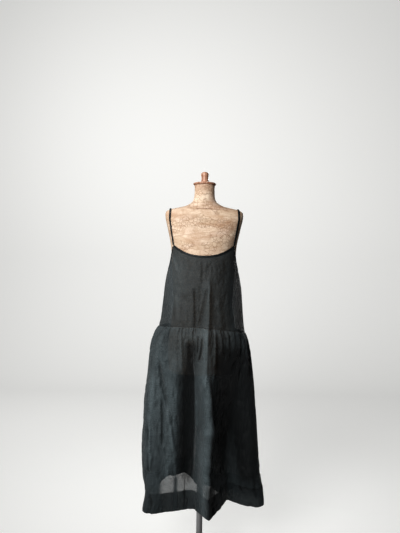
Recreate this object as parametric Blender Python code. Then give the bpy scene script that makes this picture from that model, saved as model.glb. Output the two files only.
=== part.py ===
# A camisole dress with a dropped waist and a gathered skirt, hung on a limbless dress form with its stand.
# Metres, +Z up. The front faces -Y. The origin is the middle of the base's underside, on the floor.
# Left and right are as seen from the front: left is -X.

import math
from collections import namedtuple

import bmesh
import bpy
from mathutils import Vector

# Cloth
CLOTH_WALL = 0.0013
SEAM_GAP = 0.0003
BINDING_WIDTH = 0.0060
BINDING_THICKNESS = 0.0024
BINDING_SEAT = 0.0004
BINDING_EASE = 0.6
BAND_RIDGE = 0.18
STRAP_WIDTH = 0.0080
STRAP_THICKNESS = 0.0020

# Edges of the bodice. Bearings are in degrees from the front, positive towards +X.
CORNER_BEARING = 60.0
CORNER_HEIGHT = 1.3535
BACK_CORNER_BEARING = 120.0
BACK_CORNER_HEIGHT = 1.3660
NECK_FRONT_HEIGHT = 1.3080
NECK_BACK_HEIGHT = 1.3220
NECK_CURVE = 2.2
UNDERARM_HEIGHT = 1.2560
ARMHOLE_CURVE = 1.7
SIDE_BEARING = 90.0
SIDE_EASE = 0.03

# The waist seam lifts at the front and hangs a little lower on the right.
WAIST_HEIGHT = 1.0045
WAIST_LIFT = 0.0190
WAIST_TILT = 0.0115

# Usual height of the hem; it is hitched up at the back's left and hangs low at the back's right.
HEM_HEIGHT = 0.2555

# Straps over the shoulders
STRAP_TOP_X = 0.1440
STRAP_BEND_HEIGHT = 1.4450
STRAP_SEAT = 0.0018
STRAP_START = 0.0045
STRAP_STATIONS = 36
STRAP_SAMPLES = 800

# Turned wood at the neck
CAP_RADIUS = 0.0495
CAP_HEIGHT = 0.0125
KNOB_RADIUS = 0.0175
KNOB_HEIGHT = 0.0455

# Stand
POLE_RADIUS = 0.0130
POLE_BOTTOM = 0.0190
SOCKET_RADIUS = 0.0460
SOCKET_THICKNESS = 0.0060
SOCKET_SLEEVE_RADIUS = 0.0200
SOCKET_SLEEVE_LENGTH = 0.0450
BASE_RADIUS = 0.1650
BASE_THICKNESS = 0.0160
COLLAR_RADIUS = 0.0300
COLLAR_HEIGHT = 0.0340

# Mesh fineness
NECK_COLUMNS = 18
ARMHOLE_COLUMNS = 7
BODICE_ROWS = 9
TORSO_COLUMNS = 30
ROUND_SEGMENTS = 24
STEPS_PER_GATHER = 4

Ring = namedtuple("Ring", "height left right front back square")

# Rings of the form, from its underside up to the neck
TORSO_RINGS = (
    Ring(0.820, 0.134, 0.134, 0.099, 0.112, 2.2),
    Ring(0.830, 0.141, 0.141, 0.106, 0.119, 2.2),
    Ring(0.900, 0.147, 0.147, 0.111, 0.127, 2.2),
    Ring(0.965, 0.145, 0.145, 0.109, 0.123, 2.2),
    Ring(1.040, 0.134, 0.134, 0.102, 0.108, 2.2),
    Ring(1.110, 0.126, 0.126, 0.098, 0.095, 2.2),
    Ring(1.180, 0.129, 0.129, 0.105, 0.094, 2.2),
    Ring(1.245, 0.134, 0.134, 0.121, 0.099, 2.2),
    Ring(1.305, 0.137, 0.137, 0.128, 0.104, 2.2),
    Ring(1.355, 0.1405, 0.1405, 0.120, 0.108, 2.3),
    Ring(1.400, 0.149, 0.149, 0.105, 0.107, 2.5),
    Ring(1.420, 0.1535, 0.1535, 0.0966, 0.1024, 2.6),
    Ring(1.440, 0.158, 0.158, 0.088, 0.0975, 2.65),
    Ring(1.470, 0.165, 0.165, 0.074, 0.088, 2.8),
    Ring(1.492, 0.167, 0.167, 0.062, 0.076, 2.8),
    Ring(1.504, 0.163, 0.163, 0.054, 0.068, 2.6),
    Ring(1.512, 0.151, 0.151, 0.049, 0.063, 2.4),
    Ring(1.518, 0.129, 0.129, 0.046, 0.060, 2.2),
    Ring(1.526, 0.090, 0.090, 0.044, 0.057, 2.1),
    Ring(1.536, 0.067, 0.067, 0.043, 0.054, 2.0),
    Ring(1.548, 0.052, 0.052, 0.043, 0.051, 2.0),
    Ring(1.565, 0.0455, 0.0455, 0.0425, 0.047, 2.0),
    Ring(1.590, 0.0430, 0.0430, 0.0420, 0.044, 2.0),
    Ring(1.618, 0.0435, 0.0435, 0.0430, 0.043, 2.0),
)

TORSO_BOTTOM = TORSO_RINGS[0].height
NECK_TOP = TORSO_RINGS[-1].height

# Rings of the bodice's outer face, from the dropped waist up to the straps
BODICE_RINGS = (
    Ring(0.990, 0.1885, 0.1810, 0.1495, 0.1480, 2.1),
    Ring(1.030, 0.1835, 0.1752, 0.1485, 0.1450, 2.1),
    Ring(1.080, 0.1752, 0.1708, 0.1470, 0.1395, 2.1),
    Ring(1.125, 0.1702, 0.1675, 0.1455, 0.1335, 2.1),
    Ring(1.180, 0.1648, 0.1628, 0.1430, 0.1265, 2.15),
    Ring(1.230, 0.1575, 0.1535, 0.1390, 0.1190, 2.2),
    Ring(1.280, 0.1468, 0.1435, 0.1350, 0.1130, 2.2),
    Ring(1.320, 0.1450, 0.1420, 0.1320, 0.1110, 2.2),
    Ring(1.360, 0.1460, 0.1435, 0.1240, 0.1125, 2.3),
    Ring(1.400, 0.1530, 0.1530, 0.1100, 0.1115, 2.4),
)

# Soft folds of the bodice: start height, bearing there and at the waist, width in degrees, rise out
Fold = namedtuple("Fold", "start start_bearing waist_bearing width rise")
BODICE_FOLDS = (
    Fold(1.240, 6.5, 7.7, 4.5, 0.0100),
    Fold(1.245, 1.5, -8.5, 5.0, -0.0055),
    Fold(1.190, -26.0, -27.5, 6.0, 0.0040),
    Fold(1.230, -44.0, -41.0, 7.0, -0.0030),
    Fold(1.150, 27.0, 31.0, 7.0, -0.0040),
    Fold(1.200, 55.0, 52.0, 8.0, 0.0035),
    Fold(1.220, 128.0, 126.0, 9.0, 0.0045),
    Fold(1.180, 150.0, 148.0, 7.0, -0.0040),
    Fold(1.240, 176.0, 171.0, 6.0, 0.0075),
    Fold(1.200, 192.0, 189.0, 6.0, -0.0045),
    Fold(1.210, 214.0, 211.0, 8.0, 0.0045),
    Fold(1.170, 238.0, 236.0, 8.0, -0.0035),
)
FOLD_FADE_IN = 0.110
FOLD_FADE_OUT = 0.120

# Levels of the skirt, by how far below the waist seam: how much further out it reaches than the seam,
# and how far the waist's oval has given way to the hem's folds
Level = namedtuple("Level", "fallen left right front back spread")
SKIRT_LEVELS = (
    Level(0.000, 0.0000, 0.0000, 0.0000, 0.0000, 0.00),
    Level(0.015, 0.0110, 0.0075, 0.0060, 0.0060, 0.01),
    Level(0.034, 0.0210, 0.0140, 0.0110, 0.0120, 0.04),
    Level(0.070, 0.0330, 0.0245, 0.0165, 0.0200, 0.11),
    Level(0.130, 0.0385, 0.0335, 0.0185, 0.0300, 0.22),
    Level(0.205, 0.0440, 0.0415, 0.0180, 0.0390, 0.36),
    Level(0.290, 0.0535, 0.0480, 0.0155, 0.0470, 0.53),
    Level(0.385, 0.0550, 0.0550, 0.0110, 0.0550, 0.69),
    Level(0.490, 0.0592, 0.0620, 0.0050, 0.0630, 0.81),
    Level(0.615, 0.0526, 0.0735, -0.0005, 0.0710, 0.92),
    Level(0.690, 0.0420, 0.0870, -0.0040, 0.0750, 0.97),
    Level(0.760, 0.0530, 0.0900, -0.0060, 0.0770, 1.00),
)

# A row for each gather of the waist: its bearing at the waist, where it ends in plan at the hem,
# how far the hem hangs above its usual height there, how deep the tuck behind it is,
# and how far down the tuck runs
Gather = namedtuple("Gather", "bearing hem_x hem_forward hem_lift tuck run")
FRONT_GATHERS = (
    Gather(-90.0, -0.229, -0.012, -0.0010, 0.0060, 0.10),
    Gather(-83.5, -0.239, 0.033, -0.0010, 0.0070, 0.16),
    Gather(-77.0, -0.238, 0.077, -0.0020, 0.0080, 0.22),
    Gather(-69.5, -0.213, 0.100, -0.0030, 0.0070, 0.12),
    Gather(-61.5, -0.178, 0.096, -0.0030, 0.0085, 0.26),
    Gather(-54.0, -0.143, 0.084, -0.0025, 0.0070, 0.10),
    Gather(-46.0, -0.113, 0.077, -0.0025, 0.0080, 0.18),
    Gather(-38.0, -0.086, 0.069, -0.0020, 0.0075, 0.24),
    Gather(-31.0, -0.062, 0.060, -0.0020, 0.0085, 0.13),
    Gather(-24.5, -0.042, 0.056, -0.0015, 0.0070, 0.09),
    Gather(-18.0, -0.024, 0.062, -0.0020, 0.0085, 0.17),
    Gather(-11.5, -0.008, 0.080, -0.0025, 0.0075, 0.12),
    Gather(-5.0, 0.009, 0.106, -0.0030, 0.0085, 0.20),
    Gather(1.5, 0.023, 0.128, -0.0040, 0.0070, 0.10),
    Gather(8.0, 0.037, 0.143, -0.0045, 0.0085, 0.15),
    Gather(15.0, 0.052, 0.117, -0.0035, 0.0080, 0.22),
    Gather(23.0, 0.068, 0.086, -0.0025, 0.0070, 0.11),
    Gather(32.0, 0.087, 0.050, -0.0015, 0.0085, 0.19),
    Gather(42.0, 0.105, 0.006, 0.0000, 0.0070, 0.12),
    Gather(51.5, 0.120, -0.024, 0.0010, 0.0080, 0.16),
    Gather(60.5, 0.151, -0.004, 0.0000, 0.0085, 0.24),
    Gather(70.0, 0.193, 0.022, -0.0010, 0.0070, 0.11),
    Gather(79.0, 0.241, 0.034, -0.0010, 0.0080, 0.20),
    Gather(85.5, 0.272, 0.013, 0.0000, 0.0070, 0.14),
)
BACK_GATHERS = (
    Gather(90.0, 0.270, -0.034, -0.0020, 0.0060, 0.10),
    Gather(96.0, 0.247, -0.072, -0.0060, 0.0075, 0.15),
    Gather(103.0, 0.243, -0.112, -0.0120, 0.0080, 0.21),
    Gather(110.0, 0.222, -0.140, -0.0180, 0.0070, 0.11),
    Gather(117.5, 0.190, -0.136, -0.0230, 0.0085, 0.18),
    Gather(125.0, 0.170, -0.158, -0.0280, 0.0070, 0.12),
    Gather(132.5, 0.157, -0.190, -0.0340, 0.0080, 0.23),
    Gather(140.0, 0.126, -0.206, -0.0380, 0.0075, 0.13),
    Gather(147.5, 0.100, -0.183, -0.0380, 0.0085, 0.17),
    Gather(155.0, 0.078, -0.178, -0.0350, 0.0070, 0.10),
    Gather(162.5, 0.058, -0.209, -0.0300, 0.0085, 0.22),
    Gather(170.0, 0.027, -0.225, -0.0280, 0.0075, 0.12),
    Gather(177.5, 0.002, -0.200, -0.0200, 0.0080, 0.16),
    Gather(185.0, -0.020, -0.190, -0.0040, 0.0070, 0.11),
    Gather(192.5, -0.044, -0.216, 0.0160, 0.0085, 0.20),
    Gather(200.0, -0.075, -0.222, 0.0330, 0.0075, 0.14),
    Gather(207.5, -0.100, -0.192, 0.0390, 0.0080, 0.19),
    Gather(215.0, -0.122, -0.172, 0.0390, 0.0070, 0.10),
    Gather(222.5, -0.150, -0.192, 0.0300, 0.0085, 0.17),
    Gather(230.0, -0.180, -0.181, 0.0080, 0.0075, 0.13),
    Gather(237.5, -0.192, -0.146, -0.0080, 0.0080, 0.22),
    Gather(245.0, -0.212, -0.118, -0.0120, 0.0070, 0.12),
    Gather(253.0, -0.235, -0.105, -0.0100, 0.0080, 0.18),
    Gather(261.5, -0.240, -0.062, -0.0050, 0.0070, 0.13),
)
TUCK_AT_SEAM = 0.35
TUCK_SETTLE = 0.030
FRONT_COUNT = len(FRONT_GATHERS)
GATHER_COUNT = len(FRONT_GATHERS) + len(BACK_GATHERS)
SIDE_SEAM_EASE = 0.007
FULL_TURN = 360.0

# Rows of the skirt's wall, as shares of its length: close under the waist, wider apart below.
# The turned-up hem takes the last rows.
GATHERED_ROWS = (0.0, 0.022, 0.060, 0.115, 0.185)
HANGING_ROWS = (0.290, 0.420, 0.550, 0.680, 0.790)
TURN_UP_ROWS = (0.890, 1.0)


def between(low, high, share):
    return low + (high - low) * share


def ease(share):
    # A smooth step from 0 to 1
    share = max(0.0, min(1.0, share))
    return share * share * (3.0 - 2.0 * share)


def on_curve(before, low, high, after, share):
    # A smooth curve from low to high that heads along its neighbours; each is a pair of place and value
    span = high[0] - low[0]
    leave = (high[1] - before[1]) / (high[0] - before[0]) * span
    arrive = (after[1] - low[1]) / (after[0] - low[0]) * span
    square = share * share
    cube = square * share
    return (
        (2.0 * cube - 3.0 * square + 1.0) * low[1]
        + (cube - 2.0 * square + share) * leave
        + (3.0 * square - 2.0 * cube) * high[1]
        + (cube - square) * arrive
    )


def read_levels(rows, level):
    # A table's row at any level of its first column, on smooth curves through the rows beside it
    level = max(rows[0][0], min(rows[-1][0], level))
    index = 0
    while index < len(rows) - 2 and rows[index + 1][0] < level:
        index += 1
    low = rows[index]
    high = rows[index + 1]
    before = rows[max(index - 1, 0)]
    after = rows[min(index + 2, len(rows) - 1)]
    share = (level - low[0]) / (high[0] - low[0])
    values = [level]
    for column in range(1, len(low)):
        pairs = [(row[0], row[column]) for row in (before, low, high, after)]
        values.append(on_curve(*pairs, share))
    return type(low)(*values)


def gather_row(index):
    # The gathers run on round the waist, so a row past the last is the first one again, a turn on
    turns, place = divmod(index, GATHER_COUNT)
    row = (FRONT_GATHERS + BACK_GATHERS)[place]
    return row._replace(bearing=row.bearing + turns * FULL_TURN)


def read_gather(place):
    # Place counts gathers round the waist from the left side seam
    index = math.floor(place)
    rows = [gather_row(index + step) for step in (-1, 0, 1, 2)]
    values = []
    for column in range(len(rows[0])):
        pairs = [(step, row[column]) for step, row in zip((-1, 0, 1, 2), rows)]
        values.append(on_curve(*pairs, place - index))
    return Gather(*values)


def oval(bearing, square):
    # A unit oval in plan: how far right and how far forward it reaches at a bearing
    angle = math.radians(bearing)
    power = 2.0 / square
    right = math.copysign(abs(math.sin(angle)) ** power, math.sin(angle))
    forward = math.copysign(abs(math.cos(angle)) ** power, math.cos(angle))
    return right, forward


def reach(ring, right, forward, height):
    # A point of a ring, from its unit place in plan
    side = ring.right if right > 0.0 else ring.left
    depth = ring.front if forward > 0.0 else ring.back
    return Vector((side * right, -depth * forward, height))


def torso_point(bearing, height):
    ring = read_levels(TORSO_RINGS, height)
    return reach(ring, *oval(bearing, ring.square), height)


def waist_height(bearing):
    angle = math.radians(bearing)
    return WAIST_HEIGHT + WAIST_LIFT * max(0.0, math.cos(angle)) ** 2 - WAIST_TILT * math.sin(angle)


def bodice_fold(bearing, height):
    # Sum of the soft folds at a place; below the waist seam they die out
    drop = max(0.0, waist_height(bearing) - height)
    total = 0.0
    for fold in BODICE_FOLDS:
        down = (fold.start - height) / (fold.start - WAIST_HEIGHT)
        centre = between(fold.start_bearing, fold.waist_bearing, min(1.0, max(0.0, down)))
        off = (bearing - centre + 0.5 * FULL_TURN) % FULL_TURN - 0.5 * FULL_TURN
        strength = ease((fold.start - height) / FOLD_FADE_IN) * (1.0 - ease(drop / FOLD_FADE_OUT))
        total += fold.rise * strength * math.exp(-((off / fold.width) ** 2))
    return total


def bodice_point(bearing, height):
    ring = read_levels(BODICE_RINGS, height)
    right, forward = oval(bearing, ring.square)
    point = reach(ring, right, forward, height)
    outward = Vector((right, -forward, 0.0)).normalized()
    return point + outward * bodice_fold(bearing, height)


def top_edge(bearing):
    # Height of the bodice's cut edge: scooped at the neck, front and back, and hollowed at the armholes
    turn = abs((bearing + 0.5 * FULL_TURN) % FULL_TURN - 0.5 * FULL_TURN)
    if turn <= CORNER_BEARING:
        share = math.sin(math.radians(turn)) / math.sin(math.radians(CORNER_BEARING))
        return between(NECK_FRONT_HEIGHT, CORNER_HEIGHT, share ** NECK_CURVE)
    if turn >= BACK_CORNER_BEARING:
        share = math.sin(math.radians(turn)) / math.sin(math.radians(BACK_CORNER_BEARING))
        return between(NECK_BACK_HEIGHT, BACK_CORNER_HEIGHT, share ** NECK_CURVE)
    if turn < SIDE_BEARING:
        share = (SIDE_BEARING - turn) / (SIDE_BEARING - CORNER_BEARING)
        return between(UNDERARM_HEIGHT, CORNER_HEIGHT, share ** ARMHOLE_CURVE)
    share = (turn - SIDE_BEARING) / (BACK_CORNER_BEARING - SIDE_BEARING)
    return between(UNDERARM_HEIGHT, BACK_CORNER_HEIGHT, share ** ARMHOLE_CURVE)


def bodice_surface(bearing, down):
    # Down runs from 0 at the cut top edge to 1 at the waist seam
    low = waist_height(bearing) + 0.5 * SEAM_GAP
    return bodice_point(bearing, between(top_edge(bearing), low, down))


def skirt_ring(fallen, height):
    # The waist seam's ring, let out by the skirt's levels
    ring = read_levels(BODICE_RINGS, height)
    level = read_levels(SKIRT_LEVELS, fallen)
    return ring._replace(
        left=ring.left + level.left,
        right=ring.right + level.right,
        front=ring.front + level.front,
        back=ring.back + level.back,
    ), level.spread


def hanging_point(place, drop):
    # The skirt without its gathers: an oval at the waist that turns into the hem's folds
    row = read_gather(place)
    waist = waist_height(row.bearing)
    height = between(waist - 0.5 * SEAM_GAP, HEM_HEIGHT + row.hem_lift, drop)
    ring, spread = skirt_ring(waist - height, waist)
    hem, _ = skirt_ring(SKIRT_LEVELS[-1].fallen, WAIST_HEIGHT)
    right, forward = oval(row.bearing, ring.square)
    hem_right = row.hem_x / (hem.right if row.hem_x > 0.0 else hem.left)
    hem_forward = row.hem_forward / (hem.front if row.hem_forward > 0.0 else hem.back)
    right = between(right, hem_right, spread)
    forward = between(forward, hem_forward, spread)
    point = reach(ring, right, forward, height)
    outward = Vector((right, -forward, 0.0)).normalized()
    return point + outward * bodice_fold(row.bearing, height)


def skirt_surface(place, drop):
    # Gathers are tucks between the rows' crests: slight at the seam, deepest just under it, then dying out
    step = 0.05
    point = hanging_point(place, drop)
    along = hanging_point(place + step, drop) - hanging_point(place - step, drop)
    outward = Vector((along.y, -along.x, 0.0)).normalized()
    row = read_gather(place)
    length = waist_height(row.bearing) - HEM_HEIGHT
    fallen = drop * length
    tuck = row.tuck * between(TUCK_AT_SEAM, 1.0, ease(fallen / TUCK_SETTLE))
    tuck *= math.exp(-((fallen / row.run) ** 2))
    hollow = 0.5 - 0.5 * math.cos(2.0 * math.pi * place)
    return point - outward * tuck * hollow


def facing(surface, across, down):
    # Outward normal of a cloth surface, from how it runs across and how it falls
    step = 0.02
    rise = 0.004
    along = surface(across + step, down) - surface(across - step, down)
    fall = surface(across, down + rise) - surface(across, down - rise)
    if fall.z > 0.0:
        fall = -fall
    return fall.cross(along).normalized()


def clear_scene():
    for item in list(bpy.data.objects):
        bpy.data.objects.remove(item, do_unlink=True)


def make_material(name, colour, roughness, metallic=0.0):
    material = bpy.data.materials.new(name)
    material.use_nodes = True
    shader = material.node_tree.nodes["Principled BSDF"]
    shader.inputs["Base Color"].default_value = (*colour, 1.0)
    shader.inputs["Roughness"].default_value = roughness
    shader.inputs["Metallic"].default_value = metallic
    return material


def add_object(name, form, material, smooth_angle):
    # Turns a finished bmesh into a named object with its normals out
    bmesh.ops.recalc_face_normals(form, faces=form.faces)
    mesh = bpy.data.meshes.new(name)
    form.to_mesh(mesh)
    form.free()
    mesh.shade_smooth()
    mesh.set_sharp_from_angle(angle=math.radians(smooth_angle))
    mesh.materials.append(material)
    item = bpy.data.objects.new(name, mesh)
    bpy.context.scene.collection.objects.link(item)
    return item


def skin_rows(form, rows):
    # Faces between rows of vertices; a row may have twice the steps of the next
    for upper, lower in zip(rows, rows[1:]):
        ratio = (len(upper) - 1) // (len(lower) - 1)
        for index in range(len(lower) - 1):
            top = upper[index * ratio:(index + 1) * ratio + 1]
            form.faces.new(top + [lower[index + 1], lower[index]])


def cloth_wall(name, surface, rows, material, depth=0.0, wall=CLOTH_WALL):
    # A wall of cloth under a surface. Rows hold the places of its vertices as pairs of across and down.
    # Depth moves the whole wall in from the surface.
    form = bmesh.new()
    outer = []
    inner = []
    for number, row in enumerate(rows):
        outer_row = []
        inner_row = []
        for across, down in row:
            point = surface(across, down)
            normal = facing(surface, across, down)
            outside = point - normal * depth
            inside = point - normal * (depth + wall)
            if number in (0, len(rows) - 1):
                outside.z = point.z
                inside.z = point.z
            outer_row.append(form.verts.new(outside))
            inner_row.append(form.verts.new(inside))
        outer.append(outer_row)
        inner.append(inner_row)
    skin_rows(form, outer)
    skin_rows(form, inner)
    for edge in (0, -1):
        for index in range(len(outer[edge]) - 1):
            corners = (outer[edge][index], outer[edge][index + 1], inner[edge][index + 1], inner[edge][index])
            form.faces.new(corners)
    for column in (0, -1):
        for row in range(len(outer) - 1):
            corners = (outer[row][column], outer[row + 1][column], inner[row + 1][column], inner[row][column])
            form.faces.new(corners)
    return add_object(name, form, material, 50.0)


def loft(name, rings, material, smooth_angle=40.0):
    # A closed solid through rings of points, capped at both ends
    form = bmesh.new()
    loops = []
    for ring in rings:
        loops.append([form.verts.new(point) for point in ring])
    for low, high in zip(loops, loops[1:]):
        count = len(low)
        for index in range(count):
            after = (index + 1) % count
            form.faces.new((low[index], low[after], high[after], high[index]))
    form.faces.new(loops[0])
    form.faces.new(loops[-1])
    return add_object(name, form, material, smooth_angle)


def turned(name, profile, material):
    # A turned solid about the form's axis; profile pairs are radius and height, bottom to top
    rings = []
    for radius, height in profile:
        ring = []
        for index in range(ROUND_SEGMENTS):
            angle = 2.0 * math.pi * index / ROUND_SEGMENTS
            ring.append(Vector((radius * math.cos(angle), radius * math.sin(angle), height)))
        rings.append(ring)
    return loft(name, rings, material)


def spaced(stops, steps):
    # Places from stop to stop, evenly spaced on each stretch
    places = [stops[0]]
    for first, last, count in zip(stops, stops[1:], steps):
        places += [between(first, last, index / count) for index in range(1, count + 1)]
    return places


def make_bodice(name, bearings, material):
    rows = []
    for row in range(BODICE_ROWS + 1):
        rows.append([(bearing, row / BODICE_ROWS) for bearing in bearings])
    return cloth_wall(name, bodice_surface, rows, material)


def skirt_places(first, last, steps, drop):
    return [(between(first, last, index / steps), drop) for index in range(steps + 1)]


def make_skirt(name, first, last, material):
    steps = STEPS_PER_GATHER * FRONT_COUNT
    rows = [skirt_places(first, last, steps, drop) for drop in GATHERED_ROWS]
    rows += [skirt_places(first, last, steps // 2, drop) for drop in HANGING_ROWS + TURN_UP_ROWS]
    return cloth_wall(name, skirt_surface, rows, material)


def make_hem(name, first, last, material):
    # The turned-up hem lies inside the skirt, made from the skirt's own surface moved in
    steps = STEPS_PER_GATHER * FRONT_COUNT // 2
    rows = [skirt_places(first, last, steps, drop) for drop in TURN_UP_ROWS]
    return cloth_wall(name, skirt_surface, rows, material, depth=CLOTH_WALL + SEAM_GAP)


def band_ring(low, high, normal, thickness):
    # Six corners of a flat band's section, with its two long edges drawn to a ridge
    half = normal * (0.5 * thickness)
    flat_low = low.lerp(high, BAND_RIDGE)
    flat_high = low.lerp(high, 1.0 - BAND_RIDGE)
    return [low, flat_low + half, flat_high + half, high, flat_high - half, flat_low - half]


def make_binding(name, bearings, material):
    # Stands on the bodice's cut edge, station by station with it, and ends clear of the straps
    bearings = list(bearings)
    bearings[0] += BINDING_EASE
    bearings[-1] -= BINDING_EASE
    rings = []
    for bearing in bearings:
        step = -0.05 if bearing == bearings[-1] else 0.05
        edge = bodice_surface(bearing, 0.0)
        along = (bodice_surface(bearing + step, 0.0) - edge).normalized() * math.copysign(1.0, step)
        normal = facing(bodice_surface, bearing, 0.0)
        upward = normal.cross(along).normalized()
        middle = edge - normal * (0.5 * CLOTH_WALL)
        low = middle + upward * BINDING_SEAT
        high = low + upward * BINDING_WIDTH
        rings.append(band_ring(low, high, normal, BINDING_THICKNESS))
    return loft(name, rings, material, 60.0)


def hull_over(points):
    # The taut line over a chain of places in plan depth and height, from the front end to the back end
    taut = []
    for point in points:
        while len(taut) >= 2:
            a, b = taut[-2], taut[-1]
            turn = (b[0] - a[0]) * (point[1] - a[1]) - (b[1] - a[1]) * (point[0] - a[0])
            if turn < 0.0:
                break
            taut.pop()
        taut.append(point)
    return taut


def along_chain(points, count):
    # Evenly spaced points along a chain of vectors
    lengths = [0.0]
    for low, high in zip(points, points[1:]):
        lengths.append(lengths[-1] + (high - low).length)
    result = []
    index = 0
    for step in range(count):
        wanted = lengths[-1] * step / (count - 1)
        while index < len(points) - 2 and lengths[index + 1] < wanted:
            index += 1
        share = (wanted - lengths[index]) / (lengths[index + 1] - lengths[index])
        result.append(points[index].lerp(points[index + 1], share))
    return result


def torso_depth(x, height, back):
    # How far the form reaches forward, or back, beside its axis
    ring = read_levels(TORSO_RINGS, height)
    across = min(1.0, abs(x) / ring.right)
    depth = ring.back if back else ring.front
    return depth * (1.0 - across ** ring.square) ** (1.0 / ring.square)


def strap_end(side, bearing, height, offset):
    # Where one edge of a strap meets the tip of the bodice, level with the middle of its cloth
    place = side * bearing
    middle = bodice_point(place, height + STRAP_START)
    normal = facing(bodice_point, place, height + STRAP_START)
    inward = (bodice_point(0.0 if bearing < SIDE_BEARING else 2.0 * SIDE_BEARING, height) - middle)
    across = (inward - normal * inward.dot(normal))
    across.z = 0.0
    sunk = 0.5 * (CLOTH_WALL + STRAP_THICKNESS) + STRAP_SEAT
    return middle + across.normalized() * offset - normal * sunk


def strap_x(end, crest, height):
    # A strap's sideways place at a height: it leaves the bodice's tip and stands straight over the shoulder
    return between(end.x, crest, ease((height - end.z) / (STRAP_BEND_HEIGHT - end.z)))


def strap_rail(side, offset):
    # One edge of a strap: from the bodice's front corner, taut over the shoulder, to its back corner
    front = strap_end(side, CORNER_BEARING, CORNER_HEIGHT, offset)
    back = strap_end(side, BACK_CORNER_BEARING, BACK_CORNER_HEIGHT, offset)
    crest = side * (STRAP_TOP_X - offset)
    rise = []
    fall = []
    for index in range(STRAP_SAMPLES):
        height = between(front.z, NECK_TOP, index / STRAP_SAMPLES)
        if read_levels(TORSO_RINGS, height).right <= abs(crest):
            continue
        rise.append((-torso_depth(strap_x(front, crest, height), height, False), height))
        if height > back.z:
            fall.append((torso_depth(strap_x(back, crest, height), height, True), height))
    taut = hull_over([(front.y, front.z)] + rise + fall[::-1] + [(back.y, back.z)])
    rail = []
    for y, height in taut:
        end = front if y < 0.0 else back
        rail.append(Vector((strap_x(end, crest, height), y, height)))
    return along_chain(rail, STRAP_STATIONS)


def make_strap(name, side, material):
    inner_rail = strap_rail(side, 0.5 * STRAP_WIDTH)
    outer_rail = strap_rail(side, -0.5 * STRAP_WIDTH)
    rings = []
    last = STRAP_STATIONS - 1
    for index in range(STRAP_STATIONS):
        low = inner_rail[index]
        high = outer_rail[index]
        after = min(index + 1, last)
        before = max(index - 1, 0)
        along = inner_rail[after] + outer_rail[after] - inner_rail[before] - outer_rail[before]
        normal = (high - low).cross(along).normalized() * side
        lift = normal * (0.5 * STRAP_THICKNESS + STRAP_SEAT)
        rings.append(band_ring(low + lift, high + lift, normal, STRAP_THICKNESS))
    return loft(name, rings, material, 60.0)


def make_torso(material):
    rings = []
    for row in TORSO_RINGS:
        ring = []
        for column in range(TORSO_COLUMNS):
            ring.append(torso_point(FULL_TURN * column / TORSO_COLUMNS, row.height))
        rings.append(ring)
    return loft("form_torso", rings, material, 60.0)


def make_neck_cap(material):
    # Pairs of radius and height as shares of the cap's own
    shape = ((0.81, 0.0), (0.94, 0.16), (1.0, 0.44), (0.98, 0.68), (0.81, 0.86), (0.40, 1.0))
    base = NECK_TOP + SEAM_GAP
    turned("form_neck_cap", [(CAP_RADIUS * out, base + CAP_HEIGHT * up) for out, up in shape], material)


def make_neck_knob(material):
    # The same for the knob: a narrow waist under a rounded top
    shape = ((1.0, 0.0), (0.94, 0.11), (0.85, 0.33), (0.87, 0.53), (0.96, 0.68), (0.94, 0.81), (0.77, 0.92),
             (0.46, 0.985), (0.17, 1.0))
    base = NECK_TOP + SEAM_GAP + CAP_HEIGHT + SEAM_GAP
    turned("form_neck_knob", [(KNOB_RADIUS * out, base + KNOB_HEIGHT * up) for out, up in shape], material)


def make_stand(steel, iron):
    bore = POLE_RADIUS + SEAM_GAP
    plate_top = TORSO_BOTTOM - SEAM_GAP
    plate_low = plate_top - SOCKET_THICKNESS
    pole_top = plate_low - 0.5 * SOCKET_SLEEVE_LENGTH
    sleeve_low = plate_low - SOCKET_SLEEVE_LENGTH
    socket = (
        (bore, pole_top + SEAM_GAP),
        (bore, sleeve_low),
        (SOCKET_SLEEVE_RADIUS, sleeve_low),
        (SOCKET_SLEEVE_RADIUS, plate_low),
        (SOCKET_RADIUS, plate_low),
        (SOCKET_RADIUS, plate_top),
    )
    turned("stand_socket", socket, steel)
    turned("stand_pole", ((POLE_RADIUS, POLE_BOTTOM), (POLE_RADIUS, pole_top)), steel)
    base = (
        (BASE_RADIUS - 0.12 * BASE_THICKNESS, 0.0),
        (BASE_RADIUS, 0.12 * BASE_THICKNESS),
        (BASE_RADIUS, 0.56 * BASE_THICKNESS),
        (0.975 * BASE_RADIUS, 0.78 * BASE_THICKNESS),
        (0.64 * BASE_RADIUS, 0.94 * BASE_THICKNESS),
        (1.2 * COLLAR_RADIUS, BASE_THICKNESS),
    )
    turned("stand_base", base, iron)
    foot = BASE_THICKNESS + SEAM_GAP
    collar = (
        (bore, POLE_BOTTOM - SEAM_GAP),
        (bore, foot + COLLAR_HEIGHT),
        (0.60 * COLLAR_RADIUS, foot + COLLAR_HEIGHT),
        (0.67 * COLLAR_RADIUS, foot + 0.91 * COLLAR_HEIGHT),
        (0.70 * COLLAR_RADIUS, foot + 0.30 * COLLAR_HEIGHT),
        (0.93 * COLLAR_RADIUS, foot + 0.18 * COLLAR_HEIGHT),
        (COLLAR_RADIUS, foot + 0.09 * COLLAR_HEIGHT),
        (COLLAR_RADIUS, foot),
    )
    turned("stand_collar", collar, iron)


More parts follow.
